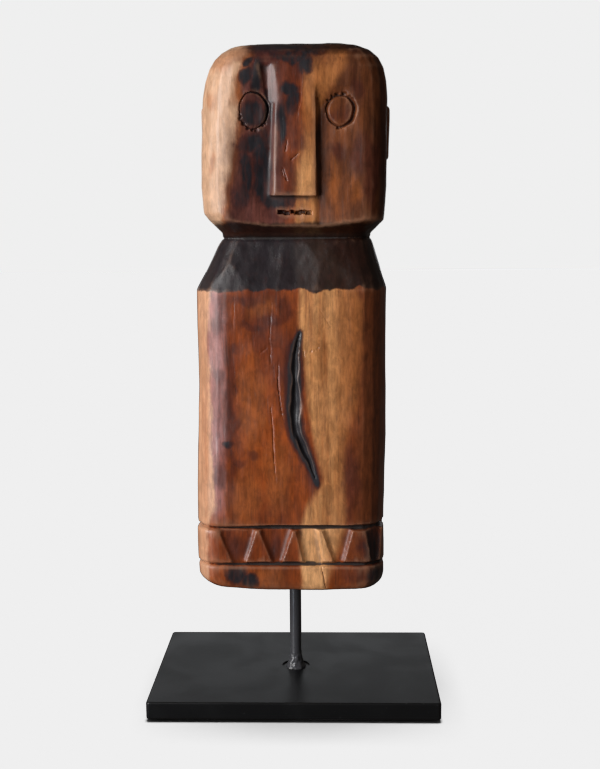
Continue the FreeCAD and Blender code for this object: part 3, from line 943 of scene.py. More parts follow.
@dataclass
class Figure:
    """The carved figure: head, torso and foot blanks, blended into one skin.

    Heights are in millimetres above the sole. A crack is a row of points: place across, height, half width.
    """

    sole: float
    bore_radius: float = 3.75
    bore_depth: float = 61.0
    voxel: float = 0.8
    triangles: int = 190_000
    seed: int = 7
    head_core: tuple[Level, Level] = (
        Level(207.0, 44.9, 48.0, 34.0, 31.6), Level(250.0, 43.2, 47.8, 34.0, 32.0))
    head_up: tuple[Level, ...] = (
        Level(258.0, 42.0, 47.2, 33.8, 31.6), Level(264.0, 40.2, 46.0, 33.4, 31.0),
        Level(268.5, 37.6, 43.6, 32.4, 30.0), Level(272.0, 34.4, 39.6, 30.2, 28.0),
        Level(274.8, 30.0, 34.0, 26.4, 24.6), Level(276.4, 23.6, 27.4, 20.0, 19.0))
    head_down: tuple[Level, ...] = (
        Level(194.0, 43.8, 47.0, 33.8, 31.0), Level(190.4, 40.8, 46.6, 33.5, 29.6),
        Level(182.8, 33.4, 38.6, 23.4, 22.4), Level(178.0, 31.4, 36.4, 21.4, 20.4))
    torso_core: tuple[Level, Level] = (
        Level(35.8, 49.8, 47.4, 33.0, 33.0), Level(155.6, 47.8, 48.1, 33.0, 33.0))
    torso_up: tuple[Level, ...] = (
        Level(180.6, 35.2, 40.4, 24.5, 23.6), Level(181.4, 33.4, 38.8, 22.8, 22.0),
        Level(182.6, 35.2, 40.2, 24.9, 23.8), Level(184.0, 34.6, 39.6, 24.3, 23.2),
        Level(184.8, 32.0, 37.0, 22.0, 21.0))
    torso_down: tuple[Level, ...] = (Level(34.9, 46.6, 44.2, 29.6, 29.6), Level(30.0, 45.0, 42.6, 28.0, 28.0))
    foot_core: tuple[Level, Level] = (
        Level(16.5, 49.5, 47.2, 32.8, 32.8), Level(33.1, 49.5, 47.2, 32.8, 32.8))
    foot_up: tuple[Level, ...] = (Level(33.9, 46.6, 44.2, 29.6, 29.6), Level(36.6, 46.0, 43.6, 29.0, 29.0))
    foot_down: tuple[Level, ...] = (
        Level(15.7, 46.8, 44.4, 30.0, 30.0), Level(14.9, 46.8, 44.4, 30.0, 30.0),
        Level(14.1, 49.4, 47.0, 32.8, 32.8), Level(8.0, 49.3, 46.9, 32.7, 32.7),
        Level(5.0, 48.2, 46.2, 32.6, 32.6), Level(3.0, 46.6, 45.0, 32.1, 32.1),
        Level(1.3, 44.2, 43.2, 31.0, 31.0), Level(0.3, 40.0, 40.0, 28.0, 28.0))
    eyes: tuple[Eye, Eye] = (
        Eye(-17.4, 243.1, 6.5, 8.3, 0.8, 20.0, (205, 232, 251, 262, 279, 303, 322)),
        Eye(24.9, 242.7, 6.5, 7.0, 1.45, -5.0, (38, 52, 67, 84, 97, 112, 127, 144, 262, 275)))
    mouth: Line = (
        (-4.3, 194.3, 1.7), (-1.6, 193.8, 1.4), (1.1, 194.4, 0.8), (3.6, 193.9, 1.7),
        (6.5, 194.3, 1.2), (8.9, 193.9, 1.5))
    chip_top: float = 33.6
    chip_foot: float = 15.4
    chip_depth: float = 2.5
    chip_lean: float = 0.85
    chips: dict[Side, ChipRow] = field(default_factory=lambda: {
        Side.FRONT: (33.0, ((-38.6, -18.4, -31.2, -24.4), (-17.6, 0.4, -10.6, -5.6), (1.2, 13.4, 5.4, 16.0),
                            (14.8, 31.0, 20.8, 25.9))),
        Side.FRONT_RIGHT: (51.4, ((2.0, 15.5, 6.5, 11.0),)),
        Side.RIGHT: (47.3, ((-14.0, 0.0, -9.0, -5.0), (1.0, 15.0, 6.0, 10.0))),
        Side.BACK_RIGHT: (51.4, ((-17.0, -3.0, -12.0, -8.0),)),
        Side.BACK: (33.0, ((-35.0, -19.5, -29.5, -25.0), (-18.5, -1.0, -12.0, -7.5), (0.0, 16.0, 5.5, 10.5),
                           (17.0, 36.0, 24.0, 29.0))),
        Side.BACK_LEFT: (53.0, ((5.5, 18.5, 10.0, 14.0),)),
        Side.LEFT: (49.7, ((-17.0, -1.0, -11.0, -7.0), (0.0, 16.0, 6.0, 10.0))),
    })
    crack: Line = (
        (4.4, 134.5, 0.4), (3.2, 130.0, 1.2), (2.2, 124.0, 1.8), (1.9, 116.0, 2.3), (1.9, 106.0, 2.5),
        (1.7, 96.0, 2.5), (1.8, 89.0, 2.5), (2.6, 84.0, 2.4), (4.0, 80.0, 2.3), (5.8, 76.0, 2.2),
        (7.6, 72.0, 1.9), (9.0, 68.5, 1.4), (10.4, 64.5, 0.9), (11.8, 60.5, 0.4))
    scorch: Line = (
        (4.2, 134.5, 1.0), (2.4, 128.0, 2.2), (1.4, 118.0, 2.8), (1.2, 106.0, 3.1), (1.1, 96.0, 3.1),
        (1.3, 88.0, 3.1), (2.4, 83.0, 3.0), (4.4, 78.0, 2.8), (6.6, 73.5, 2.5), (8.6, 69.0, 2.0),
        (10.6, 64.0, 1.5), (12.6, 57.5, 0.9))
    splits: tuple[Line, ...] = (
        ((-9.5, 150.0, 0.12), (-9.9, 143.0, 0.2), (-10.7, 132.0, 0.22), (-10.3, 119.0, 0.15)),
        ((-6.4, 119.0, 0.15), (-6.8, 108.0, 0.55), (-5.8, 100.0, 0.35), (-4.4, 91.0, 0.15)),
        ((-10.5, 97.5, 0.2), (-9.8, 88.0, 0.4), (-9.3, 72.0, 0.4), (-8.3, 58.0, 0.15)),
        ((-28.2, 150.0, 0.15), (-28.9, 137.0, 0.12)),
        ((14.6, 146.0, 0.12), (20.0, 137.0, 0.12)),
        ((14.6, 14.0, 0.35), (15.7, 8.0, 0.6), (16.8, 2.5, 0.4)),
        ((6.2, 126.4, 0.2), (6.6, 122.6, 0.4)), ((10.4, 126.0, 0.4), (9.6, 124.6, 0.3)),
        ((12.2, 126.6, 0.2), (11.7, 125.4, 0.4)), ((13.9, 127.8, 0.3), (13.2, 126.0, 0.2)),
        ((-15.6, 124.4, 0.2), (-12.4, 127.0, 0.3)),
        ((5.8, 256.0, 0.1), (5.6, 247.0, 0.18), (3.2, 239.0, 0.12)),
        ((-1.0, 229.0, 0.35), (-1.9, 223.5, 0.45)), ((4.4, 222.4, 0.3), (0.8, 219.4, 0.45)),
        ((-3.2, 216.0, 0.2), (-1.4, 209.5, 0.5)), ((-3.6, 214.6, 0.3), (-3.0, 211.6, 0.3)))

    def build(self) -> bpy.types.Object:
        """Models the figure.

        Returns:
            The finished mesh, with its hollow, edge and scar attributes.
        """
        random.seed(self.seed)
        head = self.blank("head_blank", self.head_core, self.head_up, self.head_down, self.round_head)
        self.carve_face(head)
        torso = self.blank("torso_blank", self.torso_core, self.torso_up, self.torso_down, self.round_torso)
        foot = self.blank("foot_blank", self.foot_core, self.foot_up, self.foot_down, self.round_foot)
        self.carve_band(foot)
        for blank in (torso, foot):
            self.drill(blank)
        figure = join([torso, foot, head, *self.raised_pieces()])
        figure.name = "doll_carving"
        apply_modifier(figure, "REMESH", mode="VOXEL", voxel_size=self.voxel * MM)
        self.refine_front(figure)
        self.work_surface(figure)
        self.true_bore(figure)
        self.mark_relief(figure)
        share = self.triangles / sum(len(face.vertices) - 2 for face in figure.data.polygons)
        if share < 1.0:
            apply_modifier(figure, "DECIMATE", ratio=share)
        shade(figure, 50.0)
        return figure

    def lift(self, height: float) -> float:
        """A height above the sole as a height in the frame, in metres."""
        return self.sole + height * MM

    def blank(self, name: str, core: tuple[Level, Level], upward: Iterable[Level],
              downward: Iterable[Level], corners: Callable[[bpy.types.Object], None]) -> bpy.types.Object:
        """Box-models a blank: a core, its upright corners rounded, then levels drawn up and down.

        Args:
            name: the blank's name.
            core: the core's lower and upper outline.
            upward: outlines drawn up from the core's top.
            downward: outlines drawn down from the core's bottom.
            corners: rounds the upright corners.

        Returns:
            The closed blank.
        """
        low, high = core
        piece = block(name, Vector((-low.left * MM, -low.front * MM, self.lift(low.height))),
                      Vector((low.right * MM, low.back * MM, self.lift(high.height))))
        corners(piece)
        focus(piece)
        bpy.ops.object.mode_set(mode="EDIT")
        top = self.lift(high.height)
        pick(piece, Pick.FACES, lambda face: face.normal.z > 0.9 and face.calc_center_median().z > top - MM)
        self.reshape(piece, high)
        for level in upward:
            bpy.ops.mesh.extrude_region_move()
            self.reshape(piece, level)
        bottom = self.lift(low.height)
        pick(piece, Pick.FACES,
             lambda face: face.normal.z < -0.9 and face.calc_center_median().z < bottom + MM)
        for level in downward:
            bpy.ops.mesh.extrude_region_move()
            self.reshape(piece, level)
        bpy.ops.object.mode_set(mode="OBJECT")
        return piece

    def reshape(self, piece: bpy.types.Object, level: Level) -> None:
        """Moves and scales the selected flat outline to a level."""
        mesh = bmesh.from_edit_mesh(piece.data)
        places = np.array([vert.co for vert in mesh.verts if vert.select])
        low, high = places.min(axis=0), places.max(axis=0)
        want_low = np.array((-level.left, -level.front)) * MM
        want_high = np.array((level.right, level.back)) * MM
        scale = (want_high - want_low) / (high - low)[:2]
        centre = Vector((low + high) / 2)
        bpy.ops.transform.resize(value=(scale[0], scale[1], 1.0), center_override=centre)
        middle = (want_low + want_high) / 2
        target = Vector((middle[0], middle[1], self.lift(level.height)))
        bpy.ops.transform.translate(value=target - centre)

    def round_head(self, piece: bpy.types.Object) -> None:
        """Rounds the head's upright corners, wider on the left."""
        bevel_edges(piece, lambda edge: along_z(edge) and edge.verts[0].co.x < 0, 15.0, 4)
        bevel_edges(piece, lambda edge: along_z(edge) and edge.verts[0].co.x > 0.04, 12.0, 4)

    def round_torso(self, piece: bpy.types.Object) -> None:
        """Rounds the torso's upright corners, a little wider on the right."""
        bevel_edges(piece, lambda edge: along_z(edge) and edge.verts[0].co.x < 0, 16.0, 5)
        bevel_edges(piece, lambda edge: along_z(edge) and edge.verts[0].co.x > 0.04, 17.0, 5)

    def round_foot(self, piece: bpy.types.Object) -> None:
        """Rounds the foot's upright corners."""
        bevel_edges(piece, along_z, 11.5, 5)

    def cut_block(self, name: str, low: Sequence[float], high: Sequence[float],
                  planes: Iterable[tuple[Sequence[float], Sequence[float]]] = ()) -> bpy.types.Object:
        """A cutter: a block above the sole, sliced by planes given as a point and an outward normal."""
        base = Vector((0.0, 0.0, self.sole))
        piece = block(name, mm(*low) + base, mm(*high) + base)
        for point, outward in planes:
            slice_off(piece, mm(*point) + base, Vector(outward))
        return piece

    def carve_face(self, head: bpy.types.Object) -> None:
        """Cuts the cheeks back beside the nose, the groove under the left brow, and the lip."""
        left_ramp = ((-31, -34.2, 215), (-0.158, 1, 0.042))
        right_ramp = ((38.5, -34.2, 215), (0.168, 1, 0.024))
        facet = plane((-5.0, -34.4, 266), (-4.2, -34.4, 248), (-12.0, -31.2, 262))
        lip_floor = ((0, -30.2, 202), (0, 1, 0.036))
        cheeks = [
            self.cut_block("cheek_left", (-38, -38, 180), (-3, -29, 247), (
                left_ramp, plane((-5.9, -34.4, 246), (-7.5, -34.4, 203), (-8.8, -30.8, 246)))),
            self.cut_block("brow_slope", (-38, -38, 247), (-3, -29, 268), (
                left_ramp, facet, plane((-30, -34.2, 263), (-8, -34.2, 262), (-8, -31.4, 249)))),
            self.cut_block("brow_left", (-20, -38, 247), (-3, -29, 269), (
                facet, plane((-15.4, -34.4, 266), (-12.6, -34.0, 248), (-12.0, -31.2, 262)),
                plane((-15, -34.6, 269), (-4, -34.6, 268), (-11, -31.2, 263)))),
            self.cut_block("brow_tail", (-20, -38, 236), (-3, -29, 248), (
                left_ramp, plane((-4.2, -34.4, 248), (-6.4, -34.4, 236), (-11.2, -31.2, 248)))),
            self.cut_block("cheek_right", (13, -38, 180), (44, -29, 270), (
                right_ramp, ((14.6, 0, 252), (-1, 0.08, 0)),
                plane((14, -34.2, 257), (44, -34.2, 255), (14, -31.2, 246)))),
            self.cut_block("lip", (-17, -38, 180), (24, -29, 202.2), (lip_floor, left_ramp, right_ramp)),
        ]
        carve(head, cheeks)

    def raised_pieces(self) -> list[bpy.types.Object]:
        """The eyes' discs and the ears, which stand out of the cut surface."""
        made = []
        for eye in self.eyes:
            bpy.ops.object.select_all(action="DESELECT")
            bpy.ops.mesh.primitive_cylinder_add(
                vertices=28, radius=1.0, depth=1.0, rotation=(math.pi / 2 + 0.03, 0, 0),
                location=(eye.across * MM, -29.6 * MM, self.lift(eye.height)))
            disc = bpy.context.object
            disc.scale = (eye.half_wide * MM, eye.half_high * MM, 6.6 * MM)
            settle(disc)
            bevel_edges(disc, lambda edge: all(vert.co.y < -30 * MM for vert in edge.verts), 1.3, 3)
            made.append(disc)
        for side, reach in ((-1, 45.9), (1, 50.2)):
            ear = self.cut_block("ear", (min(side * reach, side * 40), -3.0, 220.5),
                                 (max(side * reach, side * 40), 10.0, 248.0))
            bevel_edges(ear, lambda edge: True, 1.6, 2)
            made.append(ear)
        return made

    def carve_band(self, foot: bpy.types.Object) -> None:
        """Cuts the skirt band's down-pointing chips all round."""
        carve(foot, [self.chip(side, ends, reach)
                     for side, (reach, row) in self.chips.items() for ends in row])

    def drill(self, piece: bpy.types.Object) -> None:
        """Drills the rod's hole up into a piece."""
        carve(piece, [cylinder("rod_drill", self.bore_radius * MM, 2 * self.bore_depth * MM,
                               (0, 0, self.sole), 32)])

    def chip(self, side: Side, ends: tuple[float, float, float, float], reach: float) -> bpy.types.Object:
        """One chip cut: a block on the front whose two long walls and back slope in, turned to its side.

        Args:
            side: the side that it is cut in.
            ends: across the side, where the top edge starts and ends, then where the foot does.
            reach: how far the side stands from the rod.

        Returns:
            The cutter.
        """
        top, foot, lean = self.chip_top, self.chip_foot, self.chip_lean
        deep = self.chip_depth + random.uniform(-0.3, 0.3)
        left, right, foot_left, foot_right = ends
        rise = top - foot
        planes = (((left, -reach, top), (-rise, lean * rise, left - foot_left)),
                  ((right, -reach, top), (rise, lean * rise, foot_right - right)),
                  ((0, -reach + deep, top), (random.uniform(-0.03, 0.03), 1, -0.03)))
        low, high = min(left, foot_left) - 1, max(right, foot_right) + 1
        cutter = self.cut_block("chip", (low, -reach - 2, foot), (high, -reach + 5, top), planes)
        cutter.data.transform(side.matrix())
        return cutter

    def refine_front(self, figure: bpy.types.Object) -> None:
        """Halves the mesh size at the cracks, the eyes and the mouth, so that cuts can be narrow."""
        focus(figure)
        places = self.places(figure)
        near = np.zeros(len(places), bool)
        for line in self.crack_lines():
            near |= self.line_distance(places, line)[0] < 2.6
        for eye in self.eyes:
            near |= np.hypot(places[:, 0] - eye.across, places[:, 2] - eye.height) < eye.half_high + 4.0
        mouth_across, mouth_height = 2.5, 194.0
        near |= (np.abs(places[:, 0] - mouth_across) < 11.0) & (np.abs(places[:, 2] - mouth_height) < 3.4)
        near &= places[:, 1] < -20
        bpy.ops.object.mode_set(mode="EDIT")
        pick(figure, Pick.FACES, lambda face: any(near[vert.index] for vert in face.verts))
        bpy.ops.mesh.subdivide(number_cuts=1)
        bpy.ops.object.mode_set(mode="OBJECT")
        apply_modifier(figure, "TRIANGULATE")

    def crack_lines(self) -> list[Line]:
        """The wide crack and the fine splits."""
        return [self.crack, *self.splits]

    def places(self, piece: bpy.types.Object) -> np.ndarray:
        """A mesh's points in millimetres, with heights above the sole."""
        values = np.empty(len(piece.data.vertices) * 3)
        piece.data.vertices.foreach_get("co", values)
        values = values.reshape(-1, 3)
        values[:, 2] -= self.sole
        return values / MM

    @staticmethod
    def normals(piece: bpy.types.Object) -> np.ndarray:
        """The way that the skin faces at each of a mesh's points."""
        values = np.empty(len(piece.data.vertices) * 3)
        piece.data.vertices.foreach_get("normal", values)
        return values.reshape(-1, 3)

    def store(self, piece: bpy.types.Object, places: np.ndarray) -> None:
        """Puts points in millimetres above the sole back into a mesh."""
        values = places * MM
        values[:, 2] += self.sole
        piece.data.vertices.foreach_set("co", values.ravel())
        piece.data.update()

    @staticmethod
    def line_distance(places: np.ndarray, line: Line) -> tuple[np.ndarray, np.ndarray]:
        """Distance on the front from each point to a bent line, and the line's half width there."""
        best = np.full(len(places), 1e9)
        width = np.zeros(len(places))
        flat = places[:, [0, 2]]
        for start, end in zip(line, line[1:]):
            begin, run = np.array(start[:2]), np.array(end[:2]) - np.array(start[:2])
            share = np.clip(((flat - begin) @ run) / (run @ run), 0.0, 1.0)
            away = np.linalg.norm(flat - begin - share[:, None] * run, axis=1)
            closer = away < best
            best[closer] = away[closer]
            width[closer] = (start[2] + share * (end[2] - start[2]))[closer]
        return best, width

    def work_surface(self, figure: bpy.types.Object) -> None:
        """Moves points for the hand-cut facets, the grain, the cracks, the face and the curved sole."""
        apply_modifier(figure, "SMOOTH", factor=0.5, iterations=1)
        places = self.places(figure)
        normals = self.normals(figure)
        sway, facet, ripple, ragged = (np.empty(len(places)) for _ in range(4))
        for index, (x, y, z) in enumerate(places.tolist()):
            sway[index] = noise.noise(Vector((x * 0.022, y * 0.022, z * 0.016)))
            facet[index] = noise.voronoi(Vector((x * 0.075, y * 0.075, z * 0.045)))[0][0]
            ripple[index] = noise.noise(Vector((x * 0.55, y * 0.55, z * 0.06)))
            ragged[index] = noise.noise(Vector((x * 0.1, 0.0, z * 0.13)))
        shoulder = smooth_step(154.0, 158.0, places[:, 2]) * (1.0 - smooth_step(178.0, 181.0, places[:, 2]))
        push = 0.8 * sway + (0.55 + 0.9 * shoulder) * (facet - 0.4) + 0.07 * ripple
        moved = places + normals * push[:, None]
        front = smooth_step(-16.0, -26.0, places[:, 1])
        for line in self.crack_lines():
            away, width = self.line_distance(moved, line)
            wobble = 1.0 + 0.35 * ripple + 0.4 * ragged
            depth = np.minimum(0.55 + np.maximum(width - 0.6, 0.0), 1.7 + 0.8 * ragged)
            depth *= np.minimum(1.0, width / 0.5)
            cut = depth * (1.0 - smooth_step(0.15, 1.0, away / np.maximum(width * wobble, 0.35)))
            moved[:, 1] += cut * front
        moved[:, 1] += (self.eye_depth(places) + self.mouth_depth(places, ripple)) * front
        bowed = np.where(places[:, 0] < 0.0, 2.2, 1.2) * (places[:, 0] / 44.0) ** 2
        moved[:, 2] += bowed * (1.0 - smooth_step(1.0, 12.0, places[:, 2]))
        self.store(figure, moved)

    def eye_depth(self, places: np.ndarray) -> np.ndarray:
        """How deep the ring and the knife chips round each eye are cut at each point."""
        depth = np.zeros(len(places))
        for eye in self.eyes:
            across, up = places[:, 0] - eye.across, places[:, 2] - eye.height
            turn = np.arctan2(up / eye.half_high, across / eye.half_wide)
            rim = np.hypot(eye.half_wide * np.cos(turn), eye.half_high * np.sin(turn))
            beyond = np.hypot(across, up) - rim
            waver = 0.3 * np.sin(3.0 * turn + eye.across) + 0.2 * np.sin(7.0 * turn)
            share = 0.45 + 0.55 * np.maximum(0.0, np.cos(turn - math.radians(eye.heavy)))
            ring = 1.0 - smooth_step(0.1, 1.0, np.abs(beyond - 0.35 - 0.5 * waver) / (eye.ring * share))
            depth = np.maximum(depth, (0.6 + 1.3 * share) * ring)
            for angle in eye.chips:
                way = math.radians(angle + random.uniform(-6.0, 6.0))
                reach = random.uniform(0.4, 1.3)
                spot = (np.array((eye.half_wide, eye.half_high)) + reach) * (math.cos(way), math.sin(way))
                along = (across - spot[0]) * math.cos(way) + (up - spot[1]) * math.sin(way)
                aside = (up - spot[1]) * math.cos(way) - (across - spot[0]) * math.sin(way)
                chip = 1.0 - smooth_step(0.2, 1.0, np.hypot(along / 1.2, aside / random.uniform(0.8, 1.6)))
                depth = np.maximum(depth, random.uniform(0.9, 1.4) * chip)
        return depth

    def mouth_depth(self, places: np.ndarray, ripple: np.ndarray) -> np.ndarray:
        """How deep the row of stabs that makes the mouth is cut at each point."""
        depth = np.zeros(len(places))
        for across, height, half in self.mouth:
            aside, up = np.abs(places[:, 0] - across) / (half + 0.5), np.abs(places[:, 2] - height) / 1.15
            stab = 1.0 - smooth_step(0.55, 1.0, np.maximum(aside, up) + 0.25 * ripple)
            depth = np.maximum(depth, 3.2 * stab)
        return depth

    def true_bore(self, figure: bpy.types.Object) -> None:
        """Makes the rod's hole round again."""
        places = self.places(figure)
        reach, height = np.hypot(places[:, 0], places[:, 1]), places[:, 2]
        wall, mouth, end = self.bore_radius + 1.3, 1.5, self.bore_depth - 1.0
        inside = (reach < wall) & (height > mouth) & (height < end)
        places[inside, :2] *= (self.bore_radius / reach[inside])[:, None]
        self.store(figure, places)

    def mark_relief(self, figure: bpy.types.Object) -> None:
        """Stores how hollow, how proud and how near the wide crack each point is, for the wood's colours."""
        places = self.places(figure)
        pairs = np.empty(len(figure.data.edges) * 2, np.int64)
        figure.data.edges.foreach_get("vertices", pairs)
        pairs = pairs.reshape(-1, 2)
        count = np.bincount(pairs.ravel(), minlength=len(places)).astype(float)
        normals = self.normals(figure)
        relief = np.zeros(len(places))
        blurred = places.copy()
        weight_after = {4: 1.6, 24: 0.8}
        for turn in range(1, max(weight_after) + 1):
            total = np.zeros_like(blurred)
            for axis in range(3):
                total[:, axis] = (np.bincount(pairs[:, 0], blurred[pairs[:, 1], axis], len(places))
                                  + np.bincount(pairs[:, 1], blurred[pairs[:, 0], axis], len(places)))
            blurred = total / count[:, None]
            if turn in weight_after:
                relief += ((places - blurred) * normals).sum(axis=1) * weight_after[turn]
        away, width = self.line_distance(places, self.scorch)
        scar = np.clip(1.7 - away / np.maximum(width + 0.3, 0.9), 0.0, 1.0) * (places[:, 1] < 0)
        layers = {"hollow": smooth_step(0.3, 1.3, -relief), "edge": smooth_step(0.25, 1.0, relief),
                  "scar": scar}
        for name, values in layers.items():
            layer = figure.data.attributes.new(name, "FLOAT", "POINT")
            layer.data.foreach_set("value", values.astype(np.float32))


# ---------------------------------------------------------------- the stand


@dataclass
class Stand:
    """The plate, the rod, the weld at its foot and the pads under the plate."""

    corner: float = 1.6
    rim: float = 0.9
    recess_radius: float = 7.4
    recess_depth: float = 0.7
    rod_radius: float = 3.0
    seed: int = 3
    finishes: dict[str, Finish] = field(default_factory=lambda: {
        "plate": BlackPaint(),
        # The rod's paint is set much lighter than the plate's: a painted sheen for its brighter reflections.
        "rod": BlackPaint(name="black_rod", colour=rgb(0.05, 0.05, 0.055), roughness=0.25, pebble=0.35,
                          pebble_depth=0.05),
        "felt": Felt(),
        "brass": DrawnBrass(),
    })

    def plate(self) -> bpy.types.Object:
        """The flat plate with softened edges and a shallow recess round the rod."""
        low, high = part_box("base_plate")
        piece = block("stand_plate", low, high)
        bevel_edges(piece, along_z, self.corner, 4)
        bevel_edges(piece, lambda edge: abs(edge.calc_face_angle(0.0)) > 1.2 and not along_z(edge),
                    self.rim, 3)
        for radius, depth, sides in ((self.recess_radius, self.recess_depth, 64),
                                     (self.rod_radius, 2 * (high.z - low.z) / MM, 48)):
            carve(piece, [cylinder("plate_drill", radius * MM, 2 * depth * MM, (0, 0, high.z), sides)])
        bevel_edges(piece, self.on_recess_rim(high.z), 0.25, 2)
        apply_modifier(piece, "TRIANGULATE")
        shade(piece, 35.0)
        apply_modifier(piece, "WEIGHTED_NORMAL", keep_sharp=True, weight=100)
        return piece

    def on_recess_rim(self, top: float) -> Callable[[bmesh.types.BMEdge], bool]:
        """A test for the edges of the recess's rim."""
        def test(edge: bmesh.types.BMEdge) -> bool:
            return all(abs(vert.co.z - top) < 1e-5 and abs(vert.co.xy.length - self.recess_radius * MM) < 1e-5
                       for vert in edge.verts)
        return test

    def rod(self) -> bpy.types.Object:
        """The upright rod, with a rounded tip."""
        low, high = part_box("support_rod")
        piece = cylinder("stand_rod", self.rod_radius * MM, high.z - low.z, (0, 0, (low.z + high.z) / 2), 48)
        bevel_edges(piece, lambda edge: all(vert.co.z > high.z - 1e-5 for vert in edge.verts), 0.8, 4)
        shade(piece, 35.0)
        return piece

    def bead(self) -> bpy.types.Object:
        """The weld: a lumpy cone of metal that thins out up the rod."""
        low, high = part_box("weld_bead")
        piece = cylinder("stand_weld", 1.0, high.z - low.z, (0, 0, (low.z + high.z) / 2), 64)
        focus(piece)
        bpy.ops.object.mode_set(mode="EDIT")
        pick(piece, Pick.EDGES, along_z)
        bpy.ops.mesh.subdivide(number_cuts=27)
        bpy.ops.object.mode_set(mode="OBJECT")
        span = high.z - low.z
        for vert in piece.data.vertices:
            rise = (vert.co.z - low.z) / span
            turn = math.atan2(vert.co.y, vert.co.x)
            flank = 3.12 + 2.35 * (1.0 - rise) ** 2.2
            lump = noise.noise(Vector((2.1 * math.cos(turn), 2.1 * math.sin(turn), 6.0 * rise + self.seed)))
            lump += 0.5 * noise.noise(Vector((4.6 * math.cos(turn), 4.6 * math.sin(turn), 13.0 * rise)))
            ripple = 0.12 * math.sin(21.0 * rise + 2.0 * math.sin(turn))
            reach = flank + (0.75 * lump + ripple) * (1.0 - 0.75 * rise)
            limit = 5.6 - 0.1 * rise
            vert.co.xy = vert.co.xy.normalized() * min(max(reach, 3.05), limit) * MM
        apply_modifier(piece, "SMOOTH", factor=0.5, iterations=2)
        shade(piece, 60.0)
        return piece

    def pads(self) -> list[bpy.types.Object]:
        """The four felt pads, each with a softened rim."""
        made = []
        for end in ("front", "back"):
            for side in ("left", "right"):
                low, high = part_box(f"felt_pad_{end}_{side}")
                pad = cylinder(f"pad_{end}_{side}", (high.x - low.x) / 2, high.z - low.z,
                               (low + high) / 2, 64)
                bevel_edges(pad, lambda edge: not along_z(edge), 0.35, 3)
                shade(pad, 35.0)
                made.append(pad)
        return made


# ---------------------------------------------------------------- the set


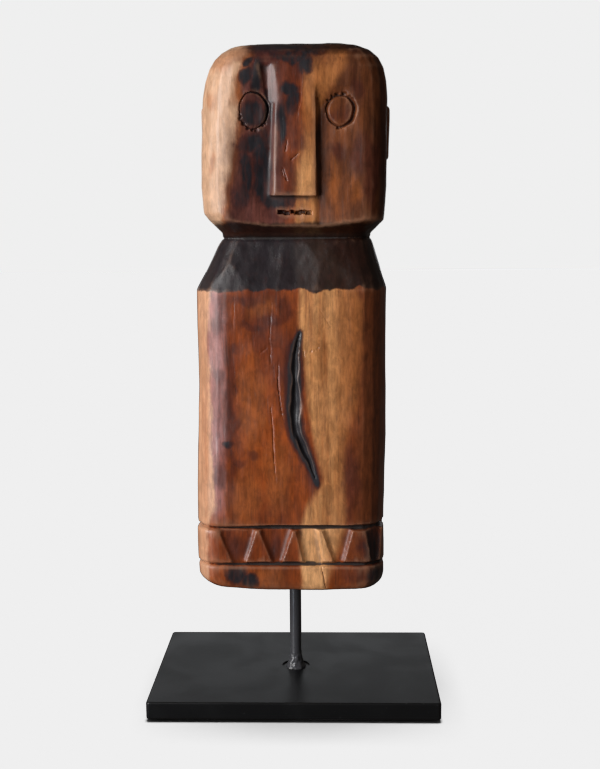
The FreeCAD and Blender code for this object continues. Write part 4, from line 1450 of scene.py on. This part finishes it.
@dataclass
class Studio:
    """The pale floor, the soft lights and the camera."""

    camera_place: tuple[float, float, float] = (19.15, -582.0, 248.5)
    heading: float = 1.55
    tilt: float = 8.01
    roll: float = -0.44
    lens: float = 51.75
    backdrop: Colour = rgb(0.863, 0.863, 0.863)
    room: Colour = rgb(0.060, 0.053, 0.048)

    def build(self) -> None:
        """Makes the floor, the world, the lights and the camera."""
        floor = self.floor()
        self.world()
        figure_parts = bpy.data.collections.new("lit_by_window")
        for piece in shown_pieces():
            figure_parts.objects.link(piece)
        for lamp in (
                self.light("key_window", (-800, -640, 430), (0, 0, 190), 680, 1000, 14.5, (1.0, 0.98, 0.96)),
                self.light("cool_card", (-640, -700, 60), (0, 0, 120), 150, 560, 2.8, (0.74, 0.84, 1.0)),
                self.light("front_fill", (420, -1250, 500), (0, 0, 180), 700, 700, 1.0, (1.0, 0.96, 0.92)),
                self.light("back_card", (-120, 900, 310), (0, 0, 20), 900, 210, 0.4, (0.9, 0.95, 1.0))):
            lamp.light_linking.receiver_collection = figure_parts
            lamp.visible_glossy = lamp.name != "front_fill"
        floor_only = bpy.data.collections.new("lit_by_ceiling")
        floor_only.objects.link(floor)
        ceiling = self.light("ceiling", (0, 0, 2500), (0, 0, 0), 500, 500, 80.0, (1.0, 1.0, 1.0))
        ceiling.light_linking.receiver_collection = floor_only
        self.camera()

    def floor(self) -> bpy.types.Object:
        """A wide pale floor."""
        bpy.ops.object.select_all(action="DESELECT")
        bpy.ops.mesh.primitive_plane_add(size=12.0, location=(0, 0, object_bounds()[0][2]))
        floor = bpy.context.object
        floor.name = "floor"
        floor.is_shadow_catcher = True
        floor.visible_glossy = False
        floor.visible_diffuse = False
        floor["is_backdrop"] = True
        return floor

    def world(self) -> None:
        """A pale surround for the eye, and a dim room for the light."""
        world = bpy.data.worlds.new("studio")
        bpy.context.scene.world = world
        world.use_nodes = True
        world.node_tree.nodes.clear()
        wires = Wires(world.node_tree)
        seen = wires.node("ShaderNodeLightPath").outputs["Is Camera Ray"]
        pale = wires.node("ShaderNodeBackground", {0: self.backdrop})
        dim = wires.node("ShaderNodeBackground", {0: self.room})
        blend = wires.node("ShaderNodeMixShader", {0: seen, 1: dim.outputs[0], 2: pale.outputs[0]})
        wires.node("ShaderNodeOutputWorld", {0: blend.outputs[0]})
        bpy.context.scene.view_settings.view_transform = "Standard"

    def light(self, name: str, place: Sequence[float], target: Sequence[float], wide: float,
              high: float, power: float, tint: Sequence[float]) -> bpy.types.Object:
        """Adds a soft rectangular light that points at a target.

        Args:
            name: the light's name.
            place: where it stands, in millimetres.
            target: what it points at, in millimetres.
            wide: its width, in millimetres.
            high: its height, in millimetres.
            power: its power, in watts.
            tint: its colour.

        Returns:
            The light.
        """
        aim = (mm(*target) - mm(*place)).to_track_quat("-Z", "Y").to_euler()
        bpy.ops.object.light_add(type="AREA", location=mm(*place), rotation=aim)
        lamp = bpy.context.object
        lamp.name = name
        lamp.data.shape = "RECTANGLE"
        lamp.data.size = wide * MM
        lamp.data.size_y = high * MM
        lamp.data.energy = power
        lamp.data.color = tint
        return lamp

    def camera(self) -> None:
        """The camera, level with the figure's shoulders and looking a little down."""
        turn = (Matrix.Rotation(math.radians(self.heading), 4, "Z")
                @ Matrix.Rotation(math.radians(90.0 - self.tilt), 4, "X")
                @ Matrix.Rotation(math.radians(self.roll), 4, "Z"))
        bpy.ops.object.camera_add(location=mm(*self.camera_place), rotation=turn.to_euler())
        camera = bpy.context.object
        camera.data.lens = self.lens
        camera.data.sensor_width = 36.0
        camera.data.clip_start = 0.01
        bpy.context.scene.camera = camera


def install(piece: bpy.types.Object, finish: Finish, body: str, *nodes: str) -> None:
    """Dresses a piece, rides it on a body and lets it stand for CAD nodes."""
    dress(piece, finish)
    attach(piece, body)
    if nodes:
        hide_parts(*nodes)
    count = sum(len(face.vertices) - 2 for face in piece.data.polygons)
    LOG.info("%s: %d triangles on %s", piece.name, count, body)


def main() -> None:
    """Loads the frame, builds every piece around it and sets the stage."""
    logging.basicConfig(level=logging.INFO, format="%(name)s: %(message)s")
    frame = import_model()
    stand = Stand()
    install(stand.plate(), stand.finishes["plate"], "stand", "base_plate")
    install(stand.rod(), stand.finishes["rod"], "stand", "support_rod")
    install(stand.bead(), stand.finishes["rod"], "stand", "weld_bead")
    for pad in stand.pads():
        install(pad, stand.finishes["felt"], "stand", pad.name.replace("pad_", "felt_pad_"))
    dress(frame["nodes"]["rod_sleeve"], stand.finishes["brass"])
    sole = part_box("carved_doll")[0].z
    figure = Figure(sole=sole).build()
    install(figure, OldWood(sole=sole / MM), "figure", "carved_doll")
    Studio().build()


if __name__ == "__main__":
    main()
